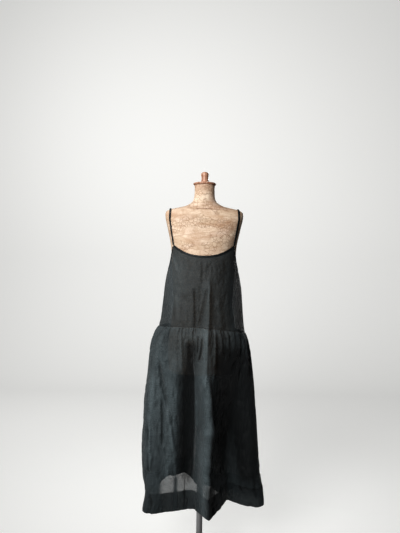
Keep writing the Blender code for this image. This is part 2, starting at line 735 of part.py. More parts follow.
def main():
    clear_scene()
    linen = make_material("black_linen", (0.012, 0.013, 0.015), 0.85)
    paper = make_material("aged_paper", (0.58, 0.42, 0.27), 0.75)
    wood = make_material("turned_wood", (0.42, 0.21, 0.11), 0.55)
    steel = make_material("steel", (0.42, 0.42, 0.41), 0.35, 1.0)
    iron = make_material("cast_iron", (0.06, 0.06, 0.062), 0.5, 0.6)

    corner = CORNER_BEARING
    back_corner = BACK_CORNER_BEARING
    side = SIDE_BEARING - SIDE_EASE
    back_side = SIDE_BEARING + SIDE_EASE
    sides_and_neck = (ARMHOLE_COLUMNS, NECK_COLUMNS, ARMHOLE_COLUMNS)
    front_stops = (-side, -corner, corner, side)
    back_stops = (back_side, back_corner, FULL_TURN - back_corner, FULL_TURN - back_side)
    make_bodice("dress_bodice_front", spaced(front_stops, sides_and_neck), linen)
    make_bodice("dress_bodice_back", spaced(back_stops, sides_and_neck), linen)
    front = (SIDE_SEAM_EASE, FRONT_COUNT - SIDE_SEAM_EASE)
    back = (FRONT_COUNT + SIDE_SEAM_EASE, GATHER_COUNT - SIDE_SEAM_EASE)
    make_skirt("dress_skirt_front", *front, linen)
    make_skirt("dress_skirt_back", *back, linen)
    make_hem("dress_hem_front", *front, linen)
    make_hem("dress_hem_back", *back, linen)

    make_binding("dress_neck_binding_front", spaced(front_stops[1:3], (NECK_COLUMNS,)), linen)
    make_binding("dress_neck_binding_back", spaced(back_stops[1:3], (NECK_COLUMNS,)), linen)
    halves = (ARMHOLE_COLUMNS, ARMHOLE_COLUMNS)
    make_binding("dress_armhole_binding_right", spaced((corner, SIDE_BEARING, back_corner), halves), linen)
    make_binding("dress_armhole_binding_left", spaced((-back_corner, -SIDE_BEARING, -corner), halves), linen)
    make_strap("dress_strap_right", 1.0, linen)
    make_strap("dress_strap_left", -1.0, linen)

    make_torso(paper)
    make_neck_cap(wood)
    make_neck_knob(wood)
    make_stand(steel, iron)


main()
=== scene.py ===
# Camisole dress in semi-sheer black linen, hung on an old papered dress form with its stand.
# Metres, +Z up. The front faces -Y, and left is -X, as seen from the front.
# Bearings are degrees round the form from the front, positive towards +X.
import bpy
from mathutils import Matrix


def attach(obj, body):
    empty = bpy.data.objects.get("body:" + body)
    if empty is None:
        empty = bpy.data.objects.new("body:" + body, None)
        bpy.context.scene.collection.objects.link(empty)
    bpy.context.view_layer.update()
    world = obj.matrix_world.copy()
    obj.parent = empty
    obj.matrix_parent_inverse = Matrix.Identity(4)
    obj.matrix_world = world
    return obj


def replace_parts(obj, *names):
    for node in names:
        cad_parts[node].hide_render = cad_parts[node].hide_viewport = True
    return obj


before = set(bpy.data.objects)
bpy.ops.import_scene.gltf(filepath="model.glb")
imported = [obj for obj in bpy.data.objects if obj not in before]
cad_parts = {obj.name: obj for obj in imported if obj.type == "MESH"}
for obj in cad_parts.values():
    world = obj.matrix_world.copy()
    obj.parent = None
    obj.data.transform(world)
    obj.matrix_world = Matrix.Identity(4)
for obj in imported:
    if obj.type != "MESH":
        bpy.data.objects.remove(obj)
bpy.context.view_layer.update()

import math

import bmesh
import bpy
import numpy as np
from mathutils import Matrix, Vector, noise

fullTurn = 360.0

studio = {
    "cameraAt": (-0.015, -2.10, 1.27),
    "cameraRoll": -0.94,            # degrees
    "lens": 32.96,
    "floorReach": 14.0,
    "wallBehind": 4.2,
    "wallHeight": 6.0,
    "sweepRadius": 1.4,
    "floorColour": (0.76, 0.76, 0.745),
    "windowLight": 0.15,            # the world's light from the left
    "roomLight": 0.05,              # and from the right
    "worldSeen": (0.80, 0.80, 0.785),
    "lights": (      # name, place, aim, size, power, spread in degrees
        ("key", (-1.32, -2.50, 2.35), (0.0, 0.0, 2.15), 1.9, 36.5, 100.0),   # low down it gives less
        ("wallLight", (-1.3, 0.3, 3.1), (0.2, 4.2, 2.4), 1.6, 60.0, 180.0),
        ("backLight", (1.1, 2.9, 2.3), (0.0, 0.0, 1.1), 1.4, 9.0, 60.0),     # so that the back shows too
    ),
    "floorGlow": 0.42,              # evens out the floor and the wall
}


def mixed(low, high, share):
    return low + (high - low) * share


def ease(share):
    share = np.clip(share, 0.0, 1.0)
    return share * share * (3.0 - 2.0 * share)


def readTable(rows, level):
    # Values between the rows of a table, on smooth curves, at any levels of its first column
    rows = np.array(rows, float)
    stops = rows[:, 0]
    level = np.clip(level, stops[0], stops[-1])
    low = np.clip(np.searchsorted(stops, level, side="right") - 1, 0, len(stops) - 2)
    high = low + 1
    before = np.maximum(low - 1, 0)
    after = np.minimum(high + 1, len(stops) - 1)
    span = (stops[high] - stops[low])[:, None]
    share = (level - stops[low])[:, None] / span
    leave = (rows[high] - rows[before]) / (stops[high] - stops[before])[:, None] * span
    arrive = (rows[after] - rows[low]) / (stops[after] - stops[low])[:, None] * span
    square = share * share
    cube = square * share
    values = (2 * cube - 3 * square + 1) * rows[low] + (cube - 2 * square + share) * leave
    values += (3 * square - 2 * cube) * rows[high] + (cube - square) * arrive
    return values[:, 1:].T


def oval(bearing, square):
    # A unit oval in plan: how far right and how far forward it reaches
    sine = np.sin(np.radians(bearing))
    cosine = np.cos(np.radians(bearing))
    power = 2.0 / square
    return np.sign(sine) * np.abs(sine) ** power, np.sign(cosine) * np.abs(cosine) ** power


def reach(sides, right, forward, height):
    left, rightSide, front, back = sides
    x = np.where(right > 0.0, rightSide, left) * right
    y = -np.where(forward > 0.0, front, back) * forward
    return np.stack([x, y, height], axis=1)


def unit(rows):
    return rows / np.linalg.norm(rows, axis=1, keepdims=True)


def flatUnit(x, y):
    # Directions that lie level
    return unit(np.stack([x, y, np.zeros_like(x)], axis=1))


def outwardOf(right, forward):
    return flatUnit(right, -forward)


def runLengths(points):
    return np.concatenate([[0.0], np.cumsum(np.linalg.norm(np.diff(points, axis=0), axis=1))])


def readRun(values, lengths, wanted):
    # What a row of points or directions holds at the wanted lengths along it
    return np.stack([np.interp(wanted, lengths, values[:, axis]) for axis in range(3)], axis=-1)


def creaseLift(rows, x, height):
    # Soft ridges and troughs, given in rows. A row holds the x and height of a crease's upper and lower end,
    # how far it bows sideways, its width to its left and right, and how far it rises
    total = np.zeros_like(x)
    for topX, top, lowX, low, bow, leftWidth, rightWidth, rise in rows:
        down = (top - height) / (top - low)
        along = np.clip(down, 0.0, 1.0)
        off = x - mixed(topX, lowX, along) - bow * np.sin(math.pi * along)
        width = np.where(off < 0.0, leftWidth, rightWidth)
        ends = ease(down / 0.22) * ease((1.0 - down) / 0.22)
        total += rise * ends * np.exp(-((off / width) ** 2))
    return total


def crumple(points, size, depth):
    # Small unevenness of linen after wear and washing, longer down the cloth than across
    stretch = Vector((1.0 / size[0], 1.0 / size[0], 1.0 / size[1]))
    waves = np.array([noise.fractal(Vector(point) * stretch, 0.9, 2.1, 4) for point in points])
    return depth * (0.6 * waves + 0.3 - np.abs(waves))


# Materials

def feed(tree, node, **inputs):
    # Sets a node's inputs, each to a value or to another node's output. i0 is the first input by its place
    for name, value in inputs.items():
        place = int(name[1:]) if name[1:].isdigit() else name.replace("_", " ")
        if isinstance(value, bpy.types.NodeSocket):
            tree.links.new(value, node.inputs[place])
        else:
            node.inputs[place].default_value = value
    return node


def addNode(tree, kind, settings=None, **inputs):
    node = tree.nodes.new("ShaderNode" + kind)
    for name, value in (settings or {}).items():
        setattr(node, name, value)
    return feed(tree, node, **inputs)


def newMaterial(name, **inputs):
    material = bpy.data.materials.new(name)
    material.use_nodes = True
    tree = material.node_tree
    return material, tree, feed(tree, tree.nodes["Principled BSDF"], **inputs)


def objectPlace(tree):
    return addNode(tree, "TexCoord").outputs["Object"]


def calc(tree, operation, first, second=0.0):
    return addNode(tree, "Math", {"operation": operation}, i0=first, i1=second).outputs[0]


def rangeNode(tree, value, low, high, atLow, atHigh, settings=None):
    return addNode(tree, "MapRange", settings, i0=value, i1=low, i2=high, i3=atLow, i4=atHigh).outputs[0]


def rampNode(tree, factor, *stops):
    # Each stop is a place and a colour, or a place and one value for a grey
    node = addNode(tree, "ValToRGB", i0=factor)
    while len(node.color_ramp.elements) < len(stops):
        node.color_ramp.elements.new(0.5)
    for element, (place, colour) in zip(node.color_ramp.elements, stops):
        element.position = place
        element.color = (*(colour if isinstance(colour, tuple) else 3 * (colour,)), 1.0)
    return node.outputs[0]


def mixColours(tree, factor, first, second, blend="MIX"):
    first, second = [value if isinstance(value, bpy.types.NodeSocket) else (*value, 1.0)
                     for value in (first, second)]
    settings = {"data_type": "RGBA", "blend_type": blend}
    return addNode(tree, "Mix", settings, i0=factor, i6=first, i7=second).outputs[2]


def noiseNode(tree, place, stretch=None, scale=1.0, **inputs):
    # Stretch makes the pattern finer along each axis by its own amount
    if stretch:
        place = addNode(tree, "Mapping", Vector=place, Scale=stretch).outputs[0]
    return addNode(tree, "TexNoise", Vector=place, Scale=scale, **inputs).outputs["Fac"]


def bumpNode(tree, height, strength, distance, **under):
    return addNode(tree, "Bump", Height=height, Strength=strength, Distance=distance, **under).outputs[0]


def newGroup(name, inputs, outputs):
    # An input that is given no value is a place
    group = bpy.data.node_groups.new(name, "ShaderNodeTree")
    for label, value in inputs.items():
        kind = "NodeSocketVector" if value is None else "NodeSocketFloat"
        socket = group.interface.new_socket(name=label, in_out="INPUT", socket_type=kind)
        if value is not None:
            socket.default_value = value
    for label in outputs:
        group.interface.new_socket(name=label, in_out="OUTPUT", socket_type="NodeSocketFloat")
    return group, group.nodes.new("NodeGroupInput"), group.nodes.new("NodeGroupOutput")


linenLook = {
    "threads": 1300.0,       # to a metre
    "dark": (0.044, 0.057, 0.061),
    "light": (0.082, 0.101, 0.107),
    "paintedShadeAndWear": (0.16, 2.50),    # painted shade: hollows are coloured this much darker; crests this much paler, partly wear of washed linen, partly painted highlight
    "paintedShadeReach": 0.014,
    "denser": (0.13, -0.006),   # how much closer deep hollows lie, and from what depth
    "coverVaries": 0.07,     # from thread to thread
    "bodiceCover": 0.59,     # how much of the light each face of the cloth stops
    "frontCover": 0.60,
    "backCover": 0.84,       # the back's folds lie close together
    "roughness": (0.54, 0.66),
    "gloss": 0.30,
    "sheen": (0.26, 0.45),   # its strength and roughness
    "softBump": (0.8, 0.0065),   # strength and depth
    "fineBump": (0.35, 0.0005),
}
paperLook = {
    "roughness": 0.72,
    "patchSize": 0.044,
    "crackSize": 0.014,
    "tints": ((0.1, (0.65, 0.50, 0.36)), (0.35, (0.73, 0.57, 0.43)), (0.7, (0.79, 0.64, 0.49)),
              (0.95, (0.68, 0.52, 0.40))),
    "neckSeam": 1.5195,      # height of a dark line where the neck's paper ends at the front
    "neckSeamWidth": 0.0044,
    "neckSeamReach": 0.034,
    "ragged": 0.012,
    "bump": (0.7, 0.0015),
}


def makeLinenWeave():
    # A plain weave with uneven threads, from a cloth's own cut laid out in metres
    group, given, out = newGroup("linenWeave", {"Cut": None, "Threads": linenLook["threads"]},
                                 ("Height", "Slub", "Crumple"))
    cut = given.outputs["Cut"]
    waves = []
    for across in list(addNode(group, "SeparateXYZ", i0=cut).outputs)[:2]:
        turns = calc(group, "MULTIPLY", across, given.outputs["Threads"])
        waves.append(calc(group, "SINE", calc(group, "MULTIPLY", turns, math.pi)))
    weave = calc(group, "MULTIPLY", *waves)
    slubs = [noiseNode(group, cut, stretch, Detail=1.0)
             for stretch in ((26.0, 900.0, 1.0), (900.0, 20.0, 1.0))]
    slub = calc(group, "MULTIPLY", calc(group, "ADD", *slubs), 0.5)
    height = calc(group, "ADD", calc(group, "MULTIPLY", weave, 0.28), calc(group, "MULTIPLY", slub, 1.5))
    feed(group, out, Height=height, Slub=slub,
         Crumple=noiseNode(group, cut, scale=34.0, Detail=4.0, Roughness=0.62))
    return group


def makeAgeing():
    # Patches pasted on, fine cracks and stains, on an object's own coordinates
    group, given, out = newGroup("ageing", {"Place": None, "Patch Size": 0.05, "Crack Size": 0.012},
                                 ("Patch", "Seam", "Crack", "Stain", "Fleck"))
    place = given.outputs["Place"]
    warp = addNode(group, "TexNoise", Vector=place, Scale=45.0, Detail=3.0).outputs["Color"]
    bent = addNode(group, "VectorMath", {"operation": "MULTIPLY_ADD"},
                   i0=warp, i1=(0.009, 0.009, 0.006), i2=place).outputs[0]
    strips = addNode(group, "Mapping", Vector=bent, Scale=(0.55, 0.55, 1.5)).outputs[0]
    patchScale, crackScale = [calc(group, "DIVIDE", 1.0, given.outputs[size])
                              for size in ("Patch Size", "Crack Size")]
    nearest, second = [addNode(group, "TexVoronoi", {"distance": "CHEBYCHEV", "feature": feature},
                               Vector=strips, Scale=patchScale).outputs for feature in ("F1", "F2")]
    edge = calc(group, "SUBTRACT", second["Distance"], nearest["Distance"])
    cracks = addNode(group, "TexVoronoi", {"feature": "DISTANCE_TO_EDGE"}, Vector=bent, Scale=crackScale)
    line = calc(group, "LESS_THAN", cracks.outputs["Distance"], 0.05)
    cracked = calc(group, "GREATER_THAN", noiseNode(group, place, scale=15.0, Detail=2.0), 0.5)
    feed(group, out, Patch=addNode(group, "SeparateXYZ", i0=nearest["Color"]).outputs[0],
         Seam=calc(group, "LESS_THAN", edge, 0.10), Crack=calc(group, "MULTIPLY", line, cracked),
         Stain=noiseNode(group, place, (0.7, 0.7, 2.4), 13.0, Detail=7.0, Roughness=0.68),
         Fleck=noiseNode(group, place, scale=190.0, Detail=4.0, Roughness=0.75))
    return group


linenWeave = makeLinenWeave()
ageing = makeAgeing()


def makeLinen(name, cover, shade=1.0):
    material, tree, shader = newMaterial(name)
    cut = addNode(tree, "UVMap", {"uv_map": "cut"}).outputs[0]
    weave = addNode(tree, "Group", {"node_tree": linenWeave}, Cut=cut, Threads=linenLook["threads"]).outputs
    # Painted shade and highlight, with some wear: the vertex values darken the colour in hollows of creases
    # and crumples and pale it on crests
    paintedShadeAndWear = addNode(tree, "Attribute", {"attribute_name": "paintedShadeAndWear"}).outputs["Fac"]
    deep = linenLook["paintedShadeReach"]
    dark, light = [tuple(shade * value for value in linenLook[tone]) for tone in ("dark", "light")]
    colour = rampNode(tree, weave["Slub"], (0.30, dark), (0.70, light))
    tone = rangeNode(tree, paintedShadeAndWear, -deep, 1.5 * deep, *linenLook["paintedShadeAndWear"])
    smooth, rough = linenLook["roughness"]
    sheen, sheenRoughness = linenLook["sheen"]
    soft = bumpNode(tree, weave["Crumple"], *linenLook["softBump"])
    feed(tree, shader, Base_Color=mixColours(tree, 1.0, colour, tone, "MULTIPLY"),
         Roughness=rampNode(tree, weave["Crumple"], (0.3, smooth), (0.7, rough)),
         Specular_IOR_Level=linenLook["gloss"], Sheen_Weight=sheen * shade, Sheen_Roughness=sheenRoughness,
         Normal=bumpNode(tree, weave["Height"], *linenLook["fineBump"], Normal=soft))
    if cover < 1.0:
        varies = linenLook["coverVaries"]
        seen = rampNode(tree, weave["Slub"], (0.32, cover - varies), (0.68, cover + varies))
        most, start = linenLook["denser"]
        hollow = rangeNode(tree, paintedShadeAndWear, -deep, start, most, 0.0)
        dense = addNode(tree, "Attribute", {"attribute_name": "dense"}).outputs["Fac"]
        feed(tree, shader, Alpha=calc(tree, "ADD", seen, calc(tree, "ADD", dense, hollow)))
    return material


def makePaper():
    material, tree, shader = newMaterial("agedPaper", Roughness=paperLook["roughness"])
    place = objectPlace(tree)
    age = addNode(tree, "Group", {"node_tree": ageing}, Place=place, Patch_Size=paperLook["patchSize"],
                  Crack_Size=paperLook["crackSize"]).outputs
    across, _, height = addNode(tree, "SeparateXYZ", i0=place).outputs
    height = calc(tree, "ADD", height, calc(tree, "MULTIPLY", age["Fleck"], paperLook["ragged"]))
    offSeam = calc(tree, "ABSOLUTE", calc(tree, "SUBTRACT", height, paperLook["neckSeam"]))
    onSeam = calc(tree, "LESS_THAN", offSeam, 0.5 * paperLook["neckSeamWidth"])
    inNeck = calc(tree, "LESS_THAN", calc(tree, "ABSOLUTE", across), paperLook["neckSeamReach"])
    wrinkle = noiseNode(tree, place, (34.0, 34.0, 300.0), Detail=3.0)
    colour = rampNode(tree, age["Patch"], *paperLook["tints"])
    for share, mark in (
        (rampNode(tree, age["Stain"], (0.44, 0.0), (0.70, 0.80)), (0.40, 0.22, 0.12)),
        (calc(tree, "MULTIPLY", calc(tree, "MULTIPLY", onSeam, inNeck), 0.8), (0.20, 0.105, 0.06)),
        (rampNode(tree, wrinkle, (0.50, 0.0), (0.66, 0.34)), (0.44, 0.28, 0.17)),
        (rampNode(tree, age["Fleck"], (0.52, 0.0), (0.68, 0.50)), (0.36, 0.20, 0.11)),
        (calc(tree, "MULTIPLY", age["Seam"], 0.25), (0.42, 0.26, 0.16)),
        (calc(tree, "MULTIPLY", age["Crack"], 0.5), (0.30, 0.165, 0.095)),
    ):
        colour = mixColours(tree, share, colour, mark)
    raised = calc(tree, "SUBTRACT", calc(tree, "SUBTRACT", age["Patch"], age["Crack"]), wrinkle)
    feed(tree, shader, Base_Color=colour, Normal=bumpNode(tree, raised, *paperLook["bump"]))
    return material


def makeWood():
    material, tree, shader = newMaterial("turnedWood", Roughness=0.45)
    grain = noiseNode(tree, objectPlace(tree), (120.0, 120.0, 9.0), Detail=5.0, Distortion=0.4)
    colour = rampNode(tree, grain, (0.30, (0.25, 0.115, 0.07)), (0.5, (0.46, 0.25, 0.165)),
                      (0.72, (0.62, 0.38, 0.27)))
    feed(tree, shader, Base_Color=colour, Normal=bumpNode(tree, grain, 0.3, 0.0005))
    return material


def makeSteel():
    material, tree, shader = newMaterial("brushedSteel", Metallic=0.7)
    lines = noiseNode(tree, objectPlace(tree), (700.0, 700.0, 14.0), Detail=3.0)
    feed(tree, shader, Base_Color=rampNode(tree, lines, (0.3, 0.70), (0.7, 0.86)),
         Roughness=rampNode(tree, lines, (0.3, 0.28), (0.7, 0.46)))
    return material


def makeIron():
    material, tree, shader = newMaterial("castIron", Roughness=0.5, Metallic=0.4)
    place = objectPlace(tree)
    stain = addNode(tree, "Group", {"node_tree": ageing}, Place=place).outputs["Stain"]
    skin = noiseNode(tree, place, scale=420.0, Detail=4.0)
    feed(tree, shader, Base_Color=rampNode(tree, stain, (0.35, 0.030), (0.75, (0.085, 0.078, 0.072))),
         Normal=bumpNode(tree, skin, 0.45, 0.0005))
    return material


bodiceLinen = makeLinen("bodiceLinen", linenLook["bodiceCover"], shade=0.60)
frontLinen = makeLinen("skirtLinen", linenLook["frontCover"])
backLinen = makeLinen("foldedLinen", linenLook["backCover"], shade=0.70)
bindingLinen = makeLinen("bindingLinen", 1.0, shade=0.12)
paper = makePaper()
wood = makeWood()
steel = makeSteel()
iron = makeIron()
print("materials made")


# Making pieces

def finishPiece(name, shape, material):
    mesh = bpy.data.meshes.new(name)
    shape.to_mesh(mesh)
    shape.free()
    mesh.shade_smooth()
    mesh.materials.append(material)
    piece = bpy.data.objects.new(name, mesh)
    bpy.context.scene.collection.objects.link(piece)
    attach(piece, "root")
    return piece


def gridSheet(name, columns, rows, place, cutSize, material, wall, closed=False, looks=None):
    # A flat grid, laid out as the cloth was cut, whose vertices are then placed where the form holds them.
    # Place takes arrays of shares across and down, and gives points. Looks are values that a material reads
    shape = bmesh.new()
    bmesh.ops.create_grid(shape, x_segments=len(columns) - 1, y_segments=len(rows) - 1, size=0.5)
    flat = np.array([vert.co for vert in shape.verts])
    column = np.rint((flat[:, 0] + 0.5) * (len(columns) - 1)).astype(int)
    row = np.rint((0.5 - flat[:, 1]) * (len(rows) - 1)).astype(int)
    across = np.array(columns)[column]
    down = np.array(rows)[row]
    points = place(across, down)
    cut = np.stack([across * cutSize[0], down * cutSize[1]], axis=1)
    layer = shape.loops.layers.uv.new("cut")
    for vert, point in zip(shape.verts, points):
        vert.co = point
    for face in shape.faces:
        for loop in face.loops:
            loop[layer].uv = cut[loop.vert.index]
    if closed:
        bmesh.ops.remove_doubles(shape, verts=shape.verts, dist=0.00002)
    piece = finishPiece(name, shape, material)
    for label, values in (looks or {}).items():
        piece.data.attributes.new(label, "FLOAT", "POINT").data.foreach_set("value", values(points, down))
    solid = piece.modifiers.new("wall", "SOLIDIFY")
    solid.thickness = wall
    solid.offset = -1.0
    return piece


def sideOut(piece, towards, told=None):
    # Turns a sheet over if its faces look the wrong way, told by one of them
    mesh = piece.data
    told = told or mesh.polygons[len(mesh.polygons) // 2]
    if told.normal.dot(towards(told.center)) < 0.0:
        mesh.flip_normals()


def awayFromAxis(point):
    return Vector((point.x, point.y, 0.0))


# The form

form = {
    "rings": (   # height, left, right, front, back, squareness
        (0.82, 0.134, 0.134, 0.099, 0.112, 2.2),
        (0.83, 0.141, 0.141, 0.106, 0.119, 2.2),
        (0.9, 0.147, 0.147, 0.111, 0.127, 2.2),
        (0.965, 0.145, 0.145, 0.109, 0.123, 2.2),
        (1.04, 0.134, 0.134, 0.102, 0.108, 2.2),
        (1.11, 0.126, 0.126, 0.098, 0.095, 2.2),
        (1.18, 0.129, 0.129, 0.105, 0.094, 2.2),
        (1.245, 0.134, 0.134, 0.121, 0.099, 2.2),
        (1.305, 0.137, 0.137, 0.128, 0.104, 2.2),
        (1.355, 0.1405, 0.1405, 0.12, 0.108, 2.3),
        (1.4, 0.149, 0.149, 0.105, 0.107, 2.5),
        (1.42, 0.1535, 0.1535, 0.0966, 0.1024, 2.6),
        (1.44, 0.158, 0.158, 0.088, 0.0975, 2.65),
        (1.47, 0.165, 0.165, 0.074, 0.088, 2.8),
        (1.492, 0.167, 0.167, 0.062, 0.076, 2.8),
        (1.504, 0.163, 0.163, 0.054, 0.068, 2.6),
        (1.512, 0.151, 0.151, 0.049, 0.063, 2.4),
        (1.518, 0.129, 0.129, 0.046, 0.06, 2.2),
        (1.526, 0.09, 0.09, 0.044, 0.057, 2.1),
        (1.536, 0.067, 0.067, 0.043, 0.054, 2.0),
        (1.548, 0.052, 0.052, 0.043, 0.051, 2.0),
        (1.565, 0.0455, 0.0455, 0.0425, 0.047, 2.0),
        (1.59, 0.043, 0.043, 0.042, 0.044, 2.0),
        (1.618, 0.0435, 0.0435, 0.043, 0.043, 2.0),
    ),
    "columns": 128,
    "rowStep": 0.0065,
}
neckTop = form["rings"][-1][0]


def formPlace(across, down):
    height = mixed(neckTop, form["rings"][0][0], down)
    *sides, square = readTable(form["rings"], height)
    right, forward = oval(across * fullTurn, square)
    return reach(sides, right, forward, height)


def makeForm():
    shape = bmesh.new()
    steps = round((neckTop - form["rings"][0][0]) / form["rowStep"])
    bmesh.ops.create_grid(shape, x_segments=form["columns"], y_segments=steps, size=0.5)
    flat = np.array([vert.co for vert in shape.verts])
    for vert, point in zip(shape.verts, formPlace(flat[:, 0] + 0.5, 0.5 - flat[:, 1])):
        vert.co = point
    bmesh.ops.remove_doubles(shape, verts=shape.verts, dist=0.00005)
    bmesh.ops.edgeloop_fill(shape, edges=[edge for edge in shape.edges if edge.is_boundary])
    bmesh.ops.recalc_face_normals(shape, faces=shape.faces)
    piece = finishPiece("form_body", shape, paper)
    piece.data.set_sharp_from_angle(angle=math.radians(50.0))
    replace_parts(piece, "form_torso")


makeForm()
print("form made")


# The dress

clothWall = 0.0013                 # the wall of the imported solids
seamGap = 0.0003
linenThickness = 0.0007
sideBlend = 0.02                   # the front's creases fade into the back's over this, either way

bodice = {
    "rings": (   # height, left, right, front, back, squareness
        (0.99, 0.1885, 0.181, 0.1495, 0.148, 2.1),
        (1.03, 0.1835, 0.1752, 0.1485, 0.145, 2.1),
        (1.08, 0.1752, 0.1708, 0.147, 0.1395, 2.1),
        (1.125, 0.1702, 0.1675, 0.1455, 0.1335, 2.1),
        (1.18, 0.1648, 0.1628, 0.143, 0.1265, 2.15),
        (1.23, 0.1575, 0.1535, 0.139, 0.119, 2.2),
        (1.28, 0.1468, 0.1435, 0.135, 0.113, 2.2),
        (1.32, 0.145, 0.142, 0.132, 0.111, 2.2),
        (1.36, 0.146, 0.1435, 0.124, 0.1125, 2.3),
        (1.4, 0.153, 0.153, 0.11, 0.1115, 2.4),
    ),
    "folds": (   # start height, bearing there and at the waist, width in degrees, rise
        (1.24, 6.5, 7.7, 4.5, 0.01),
        (1.245, 1.5, -8.5, 5.0, -0.0055),
        (1.19, -26.0, -27.5, 6.0, 0.004),
        (1.23, -44.0, -41.0, 7.0, -0.003),
        (1.15, 27.0, 31.0, 7.0, -0.004),
        (1.2, 55.0, 52.0, 8.0, 0.0035),
        (1.22, 128.0, 126.0, 9.0, 0.0045),
        (1.18, 150.0, 148.0, 7.0, -0.004),
        (1.24, 176.0, 171.0, 6.0, 0.0075),
        (1.2, 192.0, 189.0, 6.0, -0.0045),
        (1.21, 214.0, 211.0, 8.0, 0.0045),
        (1.17, 238.0, 236.0, 8.0, -0.0035),
    ),
    "foldFadeIn": 0.110,
    "foldFadeOut": 0.120,
    "corner": (60.0, 1.3535),
    "backCorner": (120.0, 1.3660),
    "neckFront": 1.3080,
    "neckBack": 1.3220,
    "neckCurve": 2.2,
    "underarm": (90.0, 1.2560),
    "armholeCurve": 1.7,
    "sideEase": 0.03,
    "waist": 1.0045,
    "waistLift": 0.0190,
    "waistTilt": 0.0115,
    "columns": (22, 104, 22),
    "rows": 110,
    "edgeHold": 0.03,              # the bound edges hold the cloth still this far down
    "crumple": (0.6, 0.5),         # against the skirt's, in the shape and in the painted shade
    "cut": (0.560, 0.370),         # one panel laid flat, to its widest and longest
    "cutArea": 0.150,
}

# Creases of both panels of a side, bodice and skirt together, so that they run on across the seam:
# x and height of the upper end, of the lower end, bow, width to the left, width to the right, rise
frontCreases = (
    (0.0245, 1.24, 0.0215, 0.94, 0.001, 0.024, 0.0045, 0.0105),
    (0.0215, 1.03, 0.0225, 0.76, -0.002, 0.026, 0.005, 0.0115),
    (0.023, 0.86, 0.043, 0.56, 0.003, 0.03, 0.006, 0.014),
    (0.04, 0.66, 0.034, 0.35, -0.003, 0.032, 0.006, 0.0155),
    (-0.036, 1.195, -0.028, 1.005, 0.0, 0.004, 0.005, -0.0085),
    (0.018, 1.205, -0.021, 1.01, 0.002, 0.004, 0.0065, -0.0105),
    (-0.128, 1.312, -0.106, 1.24, 0.0, 0.003, 0.005, 0.0045),
    (-0.11, 1.345, -0.086, 1.3, 0.0, 0.003, 0.004, 0.0035),
    (-0.005, 1.3, -0.003, 1.19, 0.0, 0.005, 0.006, -0.003),
    (-0.112, 1.17, -0.104, 1.03, 0.001, 0.005, 0.006, 0.004),
    (-0.13, 1.125, -0.135, 1.01, 0.0, 0.005, 0.006, 0.0032),
    (-0.068, 1.11, -0.066, 1.0, 0.0, 0.005, 0.005, 0.0034),
    (0.081, 1.305, 0.097, 1.235, 0.0, 0.006, 0.008, -0.003),
    (0.062, 1.15, 0.074, 1.0, 0.001, 0.01, 0.012, 0.0034),
    (0.118, 1.12, 0.128, 0.99, 0.0, 0.008, 0.01, 0.003),
    (-0.041, 0.995, -0.042, 0.76, 0.002, 0.026, 0.011, -0.015),
    (-0.042, 0.87, -0.047, 0.33, 0.002, 0.036, 0.013, -0.032),
    (-0.104, 0.99, -0.114, 0.33, 0.002, 0.085, 0.02, 0.015),
    (-0.087, 1.01, -0.077, 0.82, 0.001, 0.008, 0.006, 0.0095),
    (-0.043, 1.005, -0.019, 0.66, 0.0, 0.005, 0.006, 0.007),
    (-0.022, 0.74, -0.018, 0.6, 0.0, 0.004, 0.005, 0.005),
    (0.002, 0.998, -0.014, 0.88, 0.003, 0.005, 0.005, -0.012),
    (-0.016, 0.998, -0.02, 0.91, 0.0, 0.004, 0.004, -0.009),
    (0.054, 1.0, 0.046, 0.78, 0.003, 0.006, 0.005, 0.0045),
    (0.076, 0.995, 0.082, 0.9, 0.0, 0.005, 0.005, 0.0045),
    (-0.168, 1.0, -0.186, 0.84, 0.0, 0.01, 0.008, 0.0075),
    (-0.181, 0.9, -0.134, 0.68, -0.003, 0.006, 0.009, -0.012),
    (-0.141, 0.7, -0.11, 0.5, 0.0, 0.006, 0.008, 0.01),
    (-0.161, 0.75, -0.157, 0.52, 0.002, 0.007, 0.007, -0.01),
    (-0.219, 0.64, -0.217, 0.51, 0.0, 0.004, 0.005, -0.008),
    (-0.21, 0.62, -0.21, 0.45, 0.001, 0.004, 0.0045, 0.0075),
    (-0.214, 0.515, -0.213, 0.41, 0.0, 0.004, 0.0045, -0.008),
    (-0.199, 0.52, -0.208, 0.43, 0.0, 0.005, 0.005, 0.007),
    (-0.196, 0.86, -0.216, 0.56, 0.003, 0.011, 0.012, 0.005),
    (-0.128, 0.56, -0.136, 0.33, -0.002, 0.011, 0.012, 0.0055),
    (0.168, 0.995, 0.204, 0.78, 0.002, 0.012, 0.012, 0.0065),
    (0.18, 0.98, 0.205, 0.3, 0.002, 0.05, 0.035, -0.006),
    (0.09, 0.96, 0.106, 0.33, 0.0, 0.045, 0.04, -0.018),
    (0.062, 1.003, 0.078, 0.83, 0.0, 0.022, 0.03, -0.009),
)
